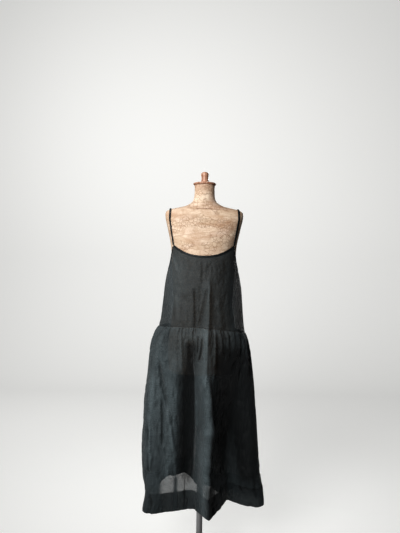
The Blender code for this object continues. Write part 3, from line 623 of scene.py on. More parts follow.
# Painted shade and painted highlight on the front's cloth: darker and paler stretches laid out as the creases
# are, that don't lift it
frontPaintedShading = (
    (0.15, 1.0, 0.2, 0.25, 0.0, 0.05, 0.12, -0.015),
    (-0.02, 0.985, -0.06, 0.76, 0.0, 0.06, 0.02, -0.006),
    (0.012, 0.62, 0.018, 0.13, 0.0, 0.022, 0.008, 0.015),
    (0.02, 1.0, 0.028, 0.56, 0.0, 0.02, 0.006, 0.004),
    (-0.205, 0.86, -0.212, 0.42, 0.0, 0.016, 0.03, 0.01),
    (-0.112, 1.345, -0.108, 1.08, 0.0, 0.035, 0.032, 0.008),
    (-0.125, 1.02, -0.115, 0.78, 0.0, 0.045, 0.045, -0.0055),
    (0.12, 1.02, 0.13, 0.8, 0.0, 0.09, 0.1, -0.007),
    (0.115, 1.33, 0.13, 0.96, 0.0, 0.08, 0.08, -0.0055),
    (-0.165, 0.6, -0.172, 0.42, 0.0, 0.022, 0.022, -0.0055),
    (-0.064, 0.41, -0.066, 0.25, 0.0, 0.002, 0.002, -0.016),
    (0.046, 0.42, 0.048, 0.23, 0.0, 0.013, 0.022, -0.012),
)
# Where the front's cloth lies closer and stops more of the light, laid out in the same way
frontDense = (
    (-0.178, 0.44, -0.174, 0.2, 0.0, 0.06, 0.014, 0.36),
    (-0.1015, 0.42, -0.102, 0.24, 0.0, 0.0075, 0.007, 0.3),
    (0.03, 0.42, 0.036, 0.2, 0.0, 0.03, 0.05, 0.24),
)
backCreases = (
    (-0.012, 1.25, -0.016, 0.93, 0.001, 0.006, 0.02, 0.008),
    (-0.018, 1.03, -0.022, 0.7, -0.003, 0.006, 0.022, 0.01),
    (-0.03, 0.78, -0.024, 0.42, 0.004, 0.008, 0.026, 0.01),
    (0.034, 1.2, 0.024, 1.01, 0.0, 0.005, 0.0045, -0.006),
    (-0.052, 1.18, -0.07, 1.01, 0.001, 0.006, 0.005, -0.005),
    (0.104, 1.3, 0.088, 1.23, 0.0, 0.004, 0.005, 0.0028),
    (0.096, 1.15, 0.104, 1.01, 0.001, 0.006, 0.006, 0.0042),
    (-0.11, 1.14, -0.12, 1.0, 0.0, 0.007, 0.006, 0.0038),
    (0.058, 0.995, 0.066, 0.42, -0.003, 0.015, 0.014, -0.012),
    (0.09, 1.0, 0.08, 0.8, 0.001, 0.006, 0.007, 0.0065),
    (-0.07, 0.998, -0.082, 0.76, 0.001, 0.007, 0.006, 0.007),
    (0.02, 0.996, 0.03, 0.88, 0.002, 0.005, 0.005, -0.008),
    (0.16, 0.99, 0.182, 0.8, 0.0, 0.009, 0.01, 0.007),
    (-0.15, 0.98, -0.178, 0.76, 0.002, 0.01, 0.009, 0.007),
    (0.12, 0.74, 0.142, 0.43, -0.002, 0.01, 0.009, -0.008),
    (-0.118, 0.7, -0.128, 0.4, 0.002, 0.011, 0.012, -0.0075),
    (0.186, 0.64, 0.192, 0.44, 0.0, 0.006, 0.006, 0.0055),
    (-0.186, 0.6, -0.196, 0.4, 0.0, 0.006, 0.007, 0.0055),
)

skirt = {
    # Fallen below the seam; let out to the left, right, front, back; how far the hem's folds have come in
    "levels": (
        (0.0, 0.0, 0.0, 0.0, 0.0, 0.0),
        (0.015, 0.011, 0.0075, 0.006, 0.006, 0.01),
        (0.034, 0.021, 0.014, 0.011, 0.012, 0.04),
        (0.07, 0.033, 0.0245, 0.0165, 0.02, 0.11),
        (0.13, 0.0385, 0.0335, 0.0185, 0.03, 0.22),
        (0.205, 0.044, 0.0415, 0.018, 0.039, 0.36),
        (0.29, 0.0535, 0.048, 0.0155, 0.047, 0.53),
        (0.385, 0.055, 0.055, 0.011, 0.055, 0.69),
        (0.49, 0.0592, 0.062, 0.005, 0.063, 0.81),
        (0.615, 0.0526, 0.0735, -0.0005, 0.071, 0.92),
        (0.69, 0.042, 0.087, -0.004, 0.075, 0.97),
        (0.76, 0.053, 0.09, -0.006, 0.077, 1.0),
    ),
    # Bearing at the waist, x and forward at the hem, the hem's lift, the tuck's depth, its run
    "frontGathers": (
        (-90.0, -0.229, -0.012, -0.001, 0.006, 0.1),
        (-83.5, -0.239, 0.033, -0.001, 0.007, 0.16),
        (-77.0, -0.238, 0.077, -0.002, 0.008, 0.22),
        (-69.5, -0.213, 0.1, -0.003, 0.007, 0.12),
        (-61.5, -0.178, 0.096, -0.003, 0.0085, 0.26),
        (-54.0, -0.143, 0.084, -0.0025, 0.007, 0.1),
        (-46.0, -0.113, 0.077, -0.0025, 0.008, 0.18),
        (-38.0, -0.086, 0.069, -0.002, 0.0075, 0.24),
        (-31.0, -0.062, 0.06, -0.002, 0.0085, 0.13),
        (-24.5, -0.042, 0.056, -0.0015, 0.007, 0.09),
        (-18.0, -0.024, 0.062, -0.002, 0.0085, 0.17),
        (-11.5, -0.008, 0.08, -0.0025, 0.0075, 0.12),
        (-5.0, 0.009, 0.106, -0.003, 0.0085, 0.2),
        (1.5, 0.023, 0.128, -0.004, 0.007, 0.1),
        (8.0, 0.037, 0.143, -0.0045, 0.0085, 0.15),
        (15.0, 0.052, 0.117, -0.0035, 0.008, 0.22),
        (23.0, 0.068, 0.086, -0.0025, 0.007, 0.11),
        (32.0, 0.087, 0.05, -0.0015, 0.0085, 0.19),
        (42.0, 0.105, 0.006, 0.0, 0.007, 0.12),
        (51.5, 0.12, -0.024, 0.001, 0.008, 0.16),
        (60.5, 0.151, -0.004, 0.0, 0.0085, 0.24),
        (70.0, 0.193, 0.022, -0.001, 0.007, 0.11),
        (79.0, 0.241, 0.034, -0.001, 0.008, 0.2),
        (85.5, 0.272, 0.013, 0.0, 0.007, 0.14),
    ),
    "backGathers": (
        (90.0, 0.27, -0.034, -0.002, 0.006, 0.1),
        (96.0, 0.247, -0.072, -0.006, 0.0075, 0.15),
        (103.0, 0.243, -0.112, -0.012, 0.008, 0.21),
        (110.0, 0.222, -0.14, -0.018, 0.007, 0.11),
        (117.5, 0.19, -0.136, -0.023, 0.0085, 0.18),
        (125.0, 0.17, -0.158, -0.028, 0.007, 0.12),
        (132.5, 0.157, -0.19, -0.034, 0.008, 0.23),
        (140.0, 0.126, -0.206, -0.038, 0.0075, 0.13),
        (147.5, 0.1, -0.183, -0.038, 0.0085, 0.17),
        (155.0, 0.078, -0.178, -0.035, 0.007, 0.1),
        (162.5, 0.058, -0.209, -0.03, 0.0085, 0.22),
        (170.0, 0.027, -0.225, -0.028, 0.0075, 0.12),
        (177.5, 0.002, -0.2, -0.02, 0.008, 0.16),
        (185.0, -0.02, -0.19, -0.004, 0.007, 0.11),
        (192.5, -0.044, -0.216, 0.016, 0.0085, 0.2),
        (200.0, -0.075, -0.222, 0.033, 0.0075, 0.14),
        (207.5, -0.1, -0.192, 0.039, 0.008, 0.19),
        (215.0, -0.122, -0.172, 0.039, 0.007, 0.1),
        (222.5, -0.15, -0.192, 0.03, 0.0085, 0.17),
        (230.0, -0.18, -0.181, 0.008, 0.0075, 0.13),
        (237.5, -0.192, -0.146, -0.008, 0.008, 0.22),
        (245.0, -0.212, -0.118, -0.012, 0.007, 0.12),
        (253.0, -0.235, -0.105, -0.01, 0.008, 0.18),
        (261.5, -0.24, -0.062, -0.005, 0.007, 0.13),
    ),
    "tuckAtSeam": 0.35,
    "tuckSettle": 0.030,
    "tuckShare": (0.6, 0.35),      # the large gathers, against the solids' own, and how much they vary
    "smallTuck": (0.6, 0.4),       # the finer gathers between them, and how much they vary
    "smallTuckDepth": 0.0030,
    "smallTuckRun": 0.045,
    "smallTuckStart": 0.006,
    "crumpleSize": (0.024, 0.055),
    "crumpleDepth": 0.0052,
    "hemPaintedShade": 0.006,              # painted shade: the doubled hem is coloured darker
    "hemDense": 0.09,              # and lets less light through
    "hemFade": 0.006,
    "sideEase": 0.007,
    "hem": 0.2555,
    "turnUp": 0.110,               # share of the length that is turned up inside
    "columnsPerGather": 10,
    "rowStops": (0.0, 0.045, 0.200, 0.880, 0.998),
    "rowSteps": (30, 40, 84, 14),
    "cut": (0.720, 0.845),         # one panel laid flat, its turned-up hem too
}


def waistHeight(bearing):
    angle = np.radians(bearing)
    lift = bodice["waistLift"] * np.maximum(0.0, np.cos(angle)) ** 2
    return bodice["waist"] + lift - bodice["waistTilt"] * np.sin(angle)


def bodiceFold(bearing, height):
    fallen = np.maximum(0.0, waistHeight(bearing) - height)
    total = np.zeros_like(height)
    for start, startBearing, waistBearing, width, rise in bodice["folds"]:
        down = np.clip((start - height) / (start - bodice["waist"]), 0.0, 1.0)
        off = (bearing - mixed(startBearing, waistBearing, down) + 180.0) % fullTurn - 180.0
        strength = ease((start - height) / bodice["foldFadeIn"])
        strength *= 1.0 - ease(fallen / bodice["foldFadeOut"])
        total += rise * strength * np.exp(-((off / width) ** 2))
    return total


def bodicePoint(bearing, height):
    *sides, square = readTable(bodice["rings"], height)
    right, forward = oval(bearing, square)
    point = reach(sides, right, forward, height)
    return point + outwardOf(right, forward) * bodiceFold(bearing, height)[:, None]


def topEdge(bearing):
    # The cut edge: scooped at the neck, front and back, and hollowed at the armholes
    turn = np.abs((bearing + 180.0) % fullTurn - 180.0)
    sine = np.sin(np.radians(turn))
    corner, cornerHeight = bodice["corner"]
    backCorner, backHeight = bodice["backCorner"]
    side, underarm = bodice["underarm"]
    neck = (sine / math.sin(math.radians(corner))) ** bodice["neckCurve"]
    backNeck = (sine / math.sin(math.radians(backCorner))) ** bodice["neckCurve"]
    arm = np.clip((side - turn) / (side - corner), 0.0, 1.0) ** bodice["armholeCurve"]
    backArm = np.clip((turn - side) / (backCorner - side), 0.0, 1.0) ** bodice["armholeCurve"]
    return np.select(
        [turn <= corner, turn >= backCorner, turn < side],
        [mixed(bodice["neckFront"], cornerHeight, neck), mixed(bodice["neckBack"], backHeight, backNeck),
         mixed(underarm, cornerHeight, arm)],
        mixed(underarm, backHeight, backArm),
    )


def onFront(rows, points):
    return creaseLift(rows, points[:, 0], points[:, 2]) * ease((sideBlend - points[:, 1]) / (2.0 * sideBlend))


def onBack(rows, points):
    return creaseLift(rows, points[:, 0], points[:, 2]) * ease((points[:, 1] + sideBlend) / (2.0 * sideBlend))


def laidCreases(points, crumpleShare=1.0):
    small = crumple(points, skirt["crumpleSize"], skirt["crumpleDepth"] * crumpleShare)
    return small + onFront(frontCreases, points) + onBack(backCreases, points)


# Painted shade and highlight for the bodice's colour, partly wear: from its creases, crumples and the front's
# painted stretches
def bodiceShadeAndWear(points, down):
    return laidCreases(points, bodice["crumple"][1]) + onFront(frontPaintedShading, points)


# Painted shade and highlight for the skirt's colour, partly wear, with the doubled hem painted darker
def skirtShadeAndWear(points, down):
    return laidCreases(points) + onFront(frontPaintedShading, points) - skirt["hemPaintedShade"] * inHem(down)


def skirtDense(points, down):
    return onFront(frontDense, points) + skirt["hemDense"] * inHem(down)


def inHem(down):
    return ease((down - 1.0 + skirt["turnUp"]) / skirt["hemFade"])


def bodicePlace(bearing, down):
    high = topEdge(bearing)
    low = waistHeight(bearing) + 0.5 * seamGap
    points = bodicePoint(bearing, mixed(high, low, down))
    *_, square = readTable(bodice["rings"], points[:, 2])
    away = outwardOf(*oval(bearing, square))
    lift = laidCreases(points, bodice["crumple"][0]) * ease((high - points[:, 2]) / bodice["edgeHold"])
    return points + away * lift[:, None]


# The gathers all round, with one before the first and three after the last, so that their curves close
gathers = skirt["frontGathers"] + skirt["backGathers"]
frontCount = len(skirt["frontGathers"])
gatherRows = []
for place in range(-1, len(gathers) + 3):
    turns, index = divmod(place, len(gathers))
    bearing, *rest = gathers[index]
    gatherRows.append((place, bearing + turns * fullTurn, *rest))


def hangingPoint(place, drop):
    # The skirt without its tucks: an oval at the waist that turns into the hem's folds
    bearing, hemX, hemForward, hemLift, *_ = readTable(gatherRows, place)
    waist = waistHeight(bearing)
    height = mixed(waist - 0.5 * seamGap, skirt["hem"] + hemLift, drop)
    *sides, square = readTable(bodice["rings"], waist)
    *letOut, spread = readTable(skirt["levels"], waist - height)
    sides = [side + more for side, more in zip(sides, letOut)]
    *hemSides, _ = readTable(bodice["rings"], np.array([bodice["waist"]]))
    hemSides = [side[0] + more for side, more in zip(hemSides, skirt["levels"][-1][1:5])]
    left, rightSide, front, back = hemSides
    right, forward = oval(bearing, square)
    right = mixed(right, hemX / np.where(hemX > 0.0, rightSide, left), spread)
    forward = mixed(forward, hemForward / np.where(hemForward > 0.0, front, back), spread)
    point = reach(sides, right, forward, height)
    return point + outwardOf(right, forward) * bodiceFold(bearing, height)[:, None]


def skirtPlace(place, down):
    # Down runs from 0 at the seam to 1 at the hem's fold, and on up inside for the turned-up hem
    inside = down > 1.0
    drop = np.where(inside, 2.0 - down, down)
    step = 0.05
    point = hangingPoint(place, drop)
    along = hangingPoint(place + step, drop) - hangingPoint(place - step, drop)
    away = flatUnit(along[:, 1], -along[:, 0])
    bearing, _, _, _, tuck, run = readTable(gatherRows, place)
    fallen = drop * (waistHeight(bearing) - skirt["hem"])
    share, varies = skirt["tuckShare"]
    depth = tuck * (share + varies * np.sin(2.9 * place + 1.0))
    depth *= mixed(skirt["tuckAtSeam"], 1.0, ease(fallen / skirt["tuckSettle"]))
    depth *= np.exp(-((fallen / run) ** 2))
    lift = -depth * (0.5 - 0.5 * np.cos(2.0 * math.pi * place))
    share, varies = skirt["smallTuck"]
    small = skirt["smallTuckDepth"] * np.exp(-((fallen / skirt["smallTuckRun"]) ** 2))
    small *= ease(fallen / skirt["smallTuckStart"])
    turns = 2.0 * place + 0.35 * np.sin(place * 1.7)     # not quite evenly spaced
    lift += small * np.cos(2.0 * math.pi * turns) * (share + varies * np.sin(place * 2.3))
    lift += laidCreases(point) * ease(fallen / 0.004 + 0.4)     # the seam holds them nearly flat
    turned = np.where(inside, ease((down - 1.0) / 0.004), 0.0)
    lift -= turned * (clothWall + seamGap)
    return point + away * lift[:, None]


def spacedSteps(stops, steps):
    places = [stops[0]]
    for first, last, count in zip(stops, stops[1:], steps):
        places += [mixed(first, last, (index + 1) / count) for index in range(count)]
    return places


def makeBodicePanel(name, stops):
    rows = spacedSteps((0.0, 1.0), (bodice["rows"],))
    cutScale = (bodice["cut"][0] / 180.0, bodice["cut"][1])
    piece = gridSheet(name, spacedSteps(stops, bodice["columns"]), rows, bodicePlace, cutScale,
                      bodiceLinen, linenThickness, looks={"paintedShadeAndWear": bodiceShadeAndWear})
    sideOut(piece, awayFromAxis)
    return piece


def makeSkirtPanel(name, first, material):
    stops = (first + skirt["sideEase"], first + frontCount - skirt["sideEase"])
    columns = spacedSteps(stops, (skirt["columnsPerGather"] * frontCount,))
    rows = spacedSteps(skirt["rowStops"], skirt["rowSteps"])
    inner = [2.0 - row for row in rows[::-1] if row >= 1.0 - skirt["turnUp"]]
    cutScale = (skirt["cut"][0] / frontCount, skirt["cut"][1] / (1.0 + skirt["turnUp"]))
    piece = gridSheet(name, columns, rows + [1.0] + inner, skirtPlace, cutScale, material,
                      linenThickness, looks={"paintedShadeAndWear": skirtShadeAndWear, "dense": skirtDense})
    sideOut(piece, awayFromAxis, max(piece.data.polygons, key=lambda polygon: polygon.center.z))
    return piece


corner = bodice["corner"][0]
backCorner = bodice["backCorner"][0]
nearSide = bodice["underarm"][0] - bodice["sideEase"]
farSide = bodice["underarm"][0] + bodice["sideEase"]
for name, stops in (
    ("front", (-nearSide, -corner, corner, nearSide)),
    ("back", (farSide, backCorner, fullTurn - backCorner, fullTurn - farSide)),
):
    panel = makeBodicePanel("bodice_" + name, stops)
    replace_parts(panel, "dress_bodice_" + name)
print("bodice made")

for name, first, material in (("front", 0, frontLinen), ("back", frontCount, backLinen)):
    panel = makeSkirtPanel("skirt_" + name, first, material)
    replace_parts(panel, "dress_skirt_" + name, "dress_hem_" + name)
print("skirt made")


# Bindings and straps

binding = {
    "seat": 0.0004,
    "width": 0.0060,
    "ease": 0.6,
    "overlap": 0.0016,             # how far the folded strip comes down over the bodice
    "halfThickness": 0.0012,
    "thickness": 0.0004,
    "flatWidth": 0.018,
    "steps": 90,
}
strap = {
    "width": 0.0080,
    "thickness": 0.0020,
    "topX": 0.1440,
    "bendHeight": 1.4450,
    "seat": 0.0018,
    "start": 0.0045,
    "samples": 800,
    "steps": 110,
    "sides": 16,
    "wall": 0.0004,
    "flatWidth": 0.019,
}


def bandSheet(name, starts, upward, normals, section, cut, wall, closed, towards):
    # A narrow strip carried along a row of places; section pairs are how far up its width and how far out
    section = np.array(section)

    def place(across, down):
        column = np.rint(across).astype(int)
        row = np.rint(down).astype(int)
        width, out = section[column].T
        return starts[row] + upward[row] * width[:, None] + normals[row] * out[:, None]

    cutScale = (cut[0] / (len(section) - 1), cut[1] / (len(starts) - 1))
    piece = gridSheet(name, list(range(len(section))), list(range(len(starts))), place,
                      cutScale, bindingLinen, wall, closed)
    sideOut(piece, towards)
    return piece


def bodiceNormals(place, down, step=0.05):
    along = unit(bodicePlace(place + step, down) - bodicePlace(place - step, down))
    fall = bodicePlace(place, down + 0.01) - bodicePlace(place, down)
    return unit(np.cross(fall, along))


def bindingSection():
    low = -binding["overlap"]
    high = binding["width"] + binding["seat"]
    half = binding["halfThickness"]
    leg = [(low, 0.95 * half), (low + 0.2 * (high - low), half), (0.60 * high, half),
           (0.84 * high, 0.85 * half), (0.95 * high, 0.50 * half)]
    return leg + [(high, 0.0)] + [(width, -out) for width, out in leg[::-1]]


def makeBinding(name, first, last, length):
    bearings = np.linspace(first + binding["ease"], last - binding["ease"], binding["steps"] + 1)
    top = np.zeros_like(bearings)
    edge = bodicePlace(bearings, top)
    normals = bodiceNormals(bearings, top)
    upward = unit(np.cross(normals, unit(np.gradient(edge, axis=0))))
    middle = edge - normals * (0.5 * linenThickness)
    flat = (binding["flatWidth"], length)
    piece = bandSheet(name, middle, upward, normals, bindingSection(), flat, binding["thickness"],
                      False, awayFromAxis)
    return piece


for name, first, last, length in (
    ("neck_binding_front", -corner, corner, 0.290),
    ("neck_binding_back", backCorner, fullTurn - backCorner, 0.270),
    ("armhole_binding_right", corner, backCorner, 0.260),
    ("armhole_binding_left", -backCorner, -corner, 0.260),
):
    strip = makeBinding(name, first, last, length)
    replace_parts(strip, "dress_" + name)
print("bindings made")


def hullOver(points):
    # The taut line over a chain of places in depth and height, from the front end to the back end
    taut = []
    for point in points:
        while len(taut) >= 2:
            (ax, ay), (bx, by) = taut[-2], taut[-1]
            if (bx - ax) * (point[1] - ay) - (by - ay) * (point[0] - ax) < 0.0:
                break
            taut.pop()
        taut.append(tuple(point))
    return taut


def formDepth(x, height, back):
    _, right, front, rear, square = readTable(form["rings"], height)
    across = np.minimum(1.0, np.abs(x) / right)
    return (rear if back else front) * (1.0 - across ** square) ** (1.0 / square)


def strapEnd(side, bearing, height, offset):
    # Where one edge of a strap meets the tip of the bodice, level with the middle of its cloth
    place = np.array([side * bearing])
    level = np.array([height + strap["start"]])
    middle = bodicePoint(place, level)[0]
    along = bodicePoint(place + 0.02, level)[0] - bodicePoint(place - 0.02, level)[0]
    fall = bodicePoint(place, level - 0.004)[0] - bodicePoint(place, level + 0.004)[0]
    normal = unit(np.cross(fall, along)[None])[0]
    inward = bodicePoint(np.array([0.0 if bearing < 90.0 else 180.0]), np.array([height]))[0] - middle
    across = inward - normal * inward.dot(normal)
    across[2] = 0.0
    sunk = 0.5 * (clothWall + strap["thickness"]) + strap["seat"]
    return middle + across / np.linalg.norm(across) * offset - normal * sunk


def strapX(end, crest, height):
    return mixed(end[0], crest, ease((height - end[2]) / (strap["bendHeight"] - end[2])))


def strapRail(side, offset):
    # One edge of a strap, taut from the bodice's front corner over the shoulder to its back corner
    front = strapEnd(side, *bodice["corner"], offset)
    back = strapEnd(side, *bodice["backCorner"], offset)
    crest = side * (strap["topX"] - offset)
    heights = mixed(front[2], neckTop, np.arange(strap["samples"]) / strap["samples"])
    heights = heights[readTable(form["rings"], heights)[1] > abs(crest)]
    backHeights = heights[heights > back[2]]
    rise = np.stack([-formDepth(strapX(front, crest, heights), heights, False), heights], axis=1)
    fall = np.stack([formDepth(strapX(back, crest, backHeights), backHeights, True), backHeights], axis=1)
    taut = hullOver([front[1:], *rise, *fall[::-1], back[1:]])
    rail = np.array([(strapX(front if y < 0.0 else back, crest, height), y, height) for y, height in taut])
    lengths = runLengths(rail)
    return readRun(rail, lengths, np.linspace(0.0, lengths[-1], strap["steps"] + 1))


def makeStrap(name, side):
    inner = strapRail(side, 0.5 * strap["width"])
    outer = strapRail(side, -0.5 * strap["width"])
    across = outer - inner
    along = np.gradient(inner + outer, axis=0)
    normals = unit(np.cross(across, along)) * side
    half = 0.5 * strap["thickness"]
    starts = inner + normals * (half + strap["seat"])
    length = float(runLengths(inner)[-1])
    ring = []
    for index in range(strap["sides"]):
        angle = 2.0 * math.pi * index / strap["sides"]
        wide, deep = [math.copysign(abs(turn) ** 0.6, turn) for turn in (math.cos(angle), math.sin(angle))]
        ring.append((0.5 - 0.5 * wide, half * deep))
    piece = bandSheet(name, starts, across, normals, ring + ring[:1], (strap["flatWidth"], length),
                      strap["wall"], True, lambda point: Vector((0.0, 0.0, 1.0)))
    return piece


for name, side in (("left", -1.0), ("right", 1.0)):
    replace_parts(makeStrap("strap_" + name, side), "dress_strap_" + name)
print("straps made")


# Turned wood and the stand

turnedSteps = 96
neckFittings = {
    "capRadius": 0.0495,
    "capHeight": 0.0125,
    "cap": ((0.50, 0.0), (0.81, 0.0), (0.94, 0.16), (1.0, 0.44), (0.98, 0.68), (0.81, 0.86), (0.40, 1.0)),
    "knobRadius": 0.0175,
    "knobHeight": 0.0455,
    "knob": ((0.60, 0.0), (1.0, 0.0), (0.94, 0.11), (0.85, 0.33), (0.87, 0.53), (0.96, 0.68), (0.94, 0.81),
             (0.77, 0.92), (0.46, 0.985), (0.17, 1.0)),
}
stand = {
    "poleRadius": 0.0130,
    "poleBottom": 0.0190,
    "socketRadius": 0.0460,
    "socketThickness": 0.0060,
    "sleeveRadius": 0.0200,
    "sleeveLength": 0.0450,
    "baseRadius": 0.1650,
    "baseThickness": 0.0160,
    "collarRadius": 0.0300,
    "collarHeight": 0.0340,
    "edge": 0.0006,
    "ironEdge": 0.0005,
}


def turnedPiece(name, profile, material, node, rounded=0.0):
    # A profile of radius and height pairs, bottom to top, spun about the form's axis
    shape = bmesh.new()
    verts = [shape.verts.new((radius, 0.0, height)) for radius, height in profile]
    edges = [shape.edges.new(pair) for pair in zip(verts, verts[1:])]
    bmesh.ops.spin(shape, geom=verts + edges, cent=(0.0, 0.0, 0.0), axis=(0.0, 0.0, 1.0),
                   angle=math.radians(fullTurn), steps=turnedSteps, use_merge=True, use_duplicate=False)
    bmesh.ops.remove_doubles(shape, verts=shape.verts, dist=0.00001)
    rims = [edge for edge in shape.edges if edge.is_boundary]
    if rims:
        bmesh.ops.edgeloop_fill(shape, edges=rims)
    bmesh.ops.recalc_face_normals(shape, faces=shape.faces)
    if rounded:
        sharp = [edge for edge in shape.edges if len(edge.link_faces) == 2 and edge.calc_face_angle() > 0.6]
        bmesh.ops.bevel(shape, geom=sharp, offset=rounded, offset_type="OFFSET", affect="EDGES",
                        segments=2, profile=0.5, material=-1, clamp_overlap=True)
    piece = finishPiece(name, shape, material)
    piece.data.set_sharp_from_angle(angle=math.radians(42.0))
    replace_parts(piece, node)


def smoothProfile(shares, radius, height, base, steps=5):
    # More points on a smooth curve through a turned piece's own
    rows = [(index, out, up) for index, (out, up) in enumerate(shares)]
    out, up = readTable(rows, np.linspace(0.0, len(shares) - 1.0, steps * (len(shares) - 1) + 1))
    return [(radius * one, base + height * min(max(two, 0.0), 1.0)) for one, two in zip(out, up)]


def makeNeckFittings():
    base = neckTop + seamGap
    for part in ("cap", "knob"):
        tall = neckFittings[part + "Height"]
        profile = smoothProfile(neckFittings[part], neckFittings[part + "Radius"], tall, base)
        turnedPiece("neck_" + part, profile, wood, "form_neck_" + part)
        base += tall + seamGap


def makeStand():
    radius = stand["poleRadius"]
    bore = radius + seamGap
    bottom = stand["poleBottom"]
    plateTop = form["rings"][0][0] - seamGap
    plateLow = plateTop - stand["socketThickness"]
    poleTop = plateLow - 0.5 * stand["sleeveLength"]
    sleeveLow = plateLow - stand["sleeveLength"]
    sleeve = stand["sleeveRadius"]
    plate = stand["socketRadius"]
    turnedPiece("pole_socket", (
        (0.004, poleTop + seamGap), (bore, poleTop + seamGap), (bore, sleeveLow), (sleeve, sleeveLow),
        (sleeve, plateLow), (plate, plateLow), (plate, plateTop), (0.004, plateTop)),
        steel, "stand_socket", stand["edge"])
    turnedPiece("pole", ((0.003, bottom), (radius, bottom), (radius, poleTop), (0.003, poleTop)),
                steel, "stand_pole", stand["edge"])
    thick = stand["baseThickness"]
    wide = stand["baseRadius"]
    neck = stand["collarRadius"]
    turnedPiece("base_plate", (
        (0.004, 0.0), (wide - 0.12 * thick, 0.0), (wide, 0.12 * thick), (wide, 0.56 * thick),
        (0.975 * wide, 0.78 * thick), (0.64 * wide, 0.94 * thick), (1.2 * neck, thick), (0.004, thick)),
        iron, "stand_base", stand["ironEdge"])
    foot = thick + seamGap
    tall = stand["collarHeight"]
    turnedPiece("pole_collar", (
        (0.004, bottom - seamGap), (bore, bottom - seamGap), (bore, foot + tall), (0.60 * neck, foot + tall),
        (0.67 * neck, foot + 0.91 * tall), (0.70 * neck, foot + 0.30 * tall),
        (0.93 * neck, foot + 0.18 * tall), (neck, foot + 0.09 * tall), (neck, foot), (0.004, foot)),
        iron, "stand_collar", stand["ironEdge"])


makeNeckFittings()
makeStand()
print("wood and stand made")


# Sewing

stitch = {
    "pitch": 0.0034,
    "length": 0.0025,
    "thick": 0.00032,
    "waistLine": 0.992,            # share of the way down the bodice
    "hemLine": 0.004,              # just below the turned-up hem's upper edge
}


def sewAlong(name, lines):
    # Small thread stitches along lines; each line is its points and the cloth's outward normals there
    shape = bmesh.new()
    for points, normals in lines:
        lengths = runLengths(points)
        count = int(lengths[-1] / stitch["pitch"])
        for index in range(count):
            middle = (index + 0.5) * lengths[-1] / count
            ends = [Vector(readRun(points, lengths, middle + shift * stitch["length"]))
                    for shift in (-0.5, 0.5)]
            out = Vector(readRun(normals, lengths, middle)).normalized()
            along = (ends[1] - ends[0]).normalized()
            across = out.cross(along).normalized()
            turn = Matrix((along, across, along.cross(across))).transposed().to_4x4()
            size = Matrix.Diagonal((0.5 * stitch["length"], stitch["thick"], stitch["thick"], 1.0))
            spot = Matrix.Translation((ends[0] + ends[1]) / 2 + out * (0.4 * stitch["thick"]))
            bmesh.ops.create_icosphere(shape, subdivisions=1, radius=1.0, matrix=spot @ turn @ size)
    layer = shape.loops.layers.uv.new("cut")
    for face in shape.faces:
        for loop in face.loops:
            loop[layer].uv = loop.vert.co.xz
    return finishPiece(name, shape, bindingLinen)


def bodiceSeam(first, last, down, count):
    bearings = np.linspace(first, last, count)
    downs = np.full_like(bearings, down)
    points = bodicePlace(bearings, downs)
    return points, bodiceNormals(bearings, np.minimum(downs, 0.98))


def skirtSeam(first, last, down, count):
    places = np.linspace(first, last, count)
    points = skirtPlace(places, np.full_like(places, down))
    along = np.gradient(points, axis=0)
    return points, flatUnit(along[:, 1], -along[:, 0])


def boundEdge(first, last, count):
    # On the outer leg of a binding, near its lower edge
    bearings = np.linspace(first + 1.5 * binding["ease"], last - 1.5 * binding["ease"], count)
    top = np.zeros_like(bearings)
    edge = bodicePlace(bearings, top)
    normals = bodiceNormals(bearings, top)
    return edge + normals * (binding["halfThickness"] - 0.5 * linenThickness), normals


sewAlong("binding_stitches", [
    boundEdge(-corner, corner, 300), boundEdge(backCorner, fullTurn - backCorner, 300),
    boundEdge(corner, backCorner, 240), boundEdge(-backCorner, -corner, 240)])
sewAlong("waist_stitches", [
    bodiceSeam(-nearSide, nearSide, stitch["waistLine"], 500),
    bodiceSeam(farSide, fullTurn - farSide, stitch["waistLine"], 500)])
hemLine = 1.0 - skirt["turnUp"] + stitch["hemLine"]
sewAlong("hem_stitches", [
    skirtSeam(first + skirt["sideEase"], first + frontCount - skirt["sideEase"], hemLine, 900)
    for first in (0, frontCount)])
print("sewing made")


# The studio

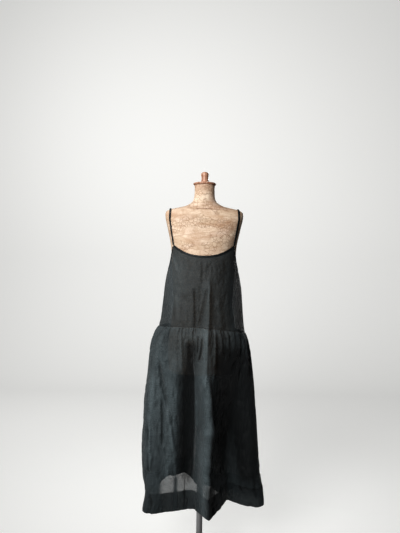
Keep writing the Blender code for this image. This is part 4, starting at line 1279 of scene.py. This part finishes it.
def makeSweep():
    # A pale floor that curves up into a plain wall far behind
    radius = studio["sweepRadius"]
    wide = studio["floorReach"]
    shape = bmesh.new()
    back = studio["wallBehind"]
    profile = [(-wide, 0.0), (back - radius, 0.0)]
    for index in range(1, 17):
        angle = 0.5 * math.pi * index / 16
        profile.append((back - radius + radius * math.sin(angle), radius - radius * math.cos(angle)))
    profile.append((back, studio["wallHeight"]))
    verts = [shape.verts.new((-wide, y, z)) for y, z in profile]
    edges = [shape.edges.new(pair) for pair in zip(verts, verts[1:])]
    grown = bmesh.ops.extrude_edge_only(shape, edges=edges)["geom"]
    bmesh.ops.translate(shape, verts=[item for item in grown if isinstance(item, bmesh.types.BMVert)],
                        vec=(2.0 * wide, 0.0, 0.0))
    bmesh.ops.recalc_face_normals(shape, faces=shape.faces)
    mesh = bpy.data.meshes.new("floor")
    shape.to_mesh(mesh)
    shape.free()
    mesh.shade_smooth()
    colour = (*studio["floorColour"], 1.0)
    mesh.materials.append(newMaterial(
        "paleFloor", Roughness=0.9, Base_Color=colour, Specular_IOR_Level=0.1, Emission_Color=colour,
        Emission_Strength=studio["floorGlow"])[0])
    floor = bpy.data.objects.new("floor", mesh)
    floor.visible_diffuse = False      # the floor throws no light back up at the cloth
    floor.visible_glossy = False
    bpy.context.scene.collection.objects.link(floor)


def addAreaLight(name, place, aim, size, power, spread):
    light = bpy.data.lights.new(name, "AREA")
    light.shape = "DISK"
    light.size = size
    light.energy = power
    light.spread = math.radians(spread)
    lamp = bpy.data.objects.new(name, light)
    lamp.location = place
    lamp.rotation_euler = (Vector(aim) - Vector(place)).to_track_quat("-Z", "Y").to_euler()
    bpy.context.scene.collection.objects.link(lamp)


def makeWorld():
    # The world lights softly, and is seen as a pale wall from the sides that have none
    world = bpy.data.worlds.new("studioWorld")
    bpy.context.scene.world = world
    world.use_nodes = True
    tree = world.node_tree
    tree.nodes.clear()
    towards = addNode(tree, "TexCoord").outputs["Generated"]
    right = addNode(tree, "SeparateXYZ", i0=towards).outputs[0]
    light = rangeNode(tree, right, -0.9, 0.5, studio["windowLight"], studio["roomLight"],
                      {"interpolation_type": "SMOOTHSTEP"})
    lighting = addNode(tree, "Background", Color=(1.0, 1.0, 1.0, 1.0), Strength=light)
    seen = addNode(tree, "Background", Color=(*studio["worldSeen"], 1.0), Strength=1.0)
    path = addNode(tree, "LightPath")
    mix = addNode(tree, "MixShader", i0=path.outputs["Is Camera Ray"],
                  i1=lighting.outputs[0], i2=seen.outputs[0])
    addNode(tree, "OutputWorld", Surface=mix.outputs[0])


makeSweep()
makeWorld()
for light in studio["lights"]:
    addAreaLight(*light)

lens = bpy.data.cameras.new("camera")
lens.lens = studio["lens"]
camera = bpy.data.objects.new("camera", lens)
camera.location = studio["cameraAt"]
camera.rotation_euler = (math.radians(90.0), math.radians(studio["cameraRoll"]), 0.0)
bpy.context.scene.collection.objects.link(camera)
bpy.context.scene.camera = camera
bpy.context.scene.view_settings.view_transform = "Standard"
bpy.context.scene.view_settings.look = "Medium High Contrast"
print("studio made")
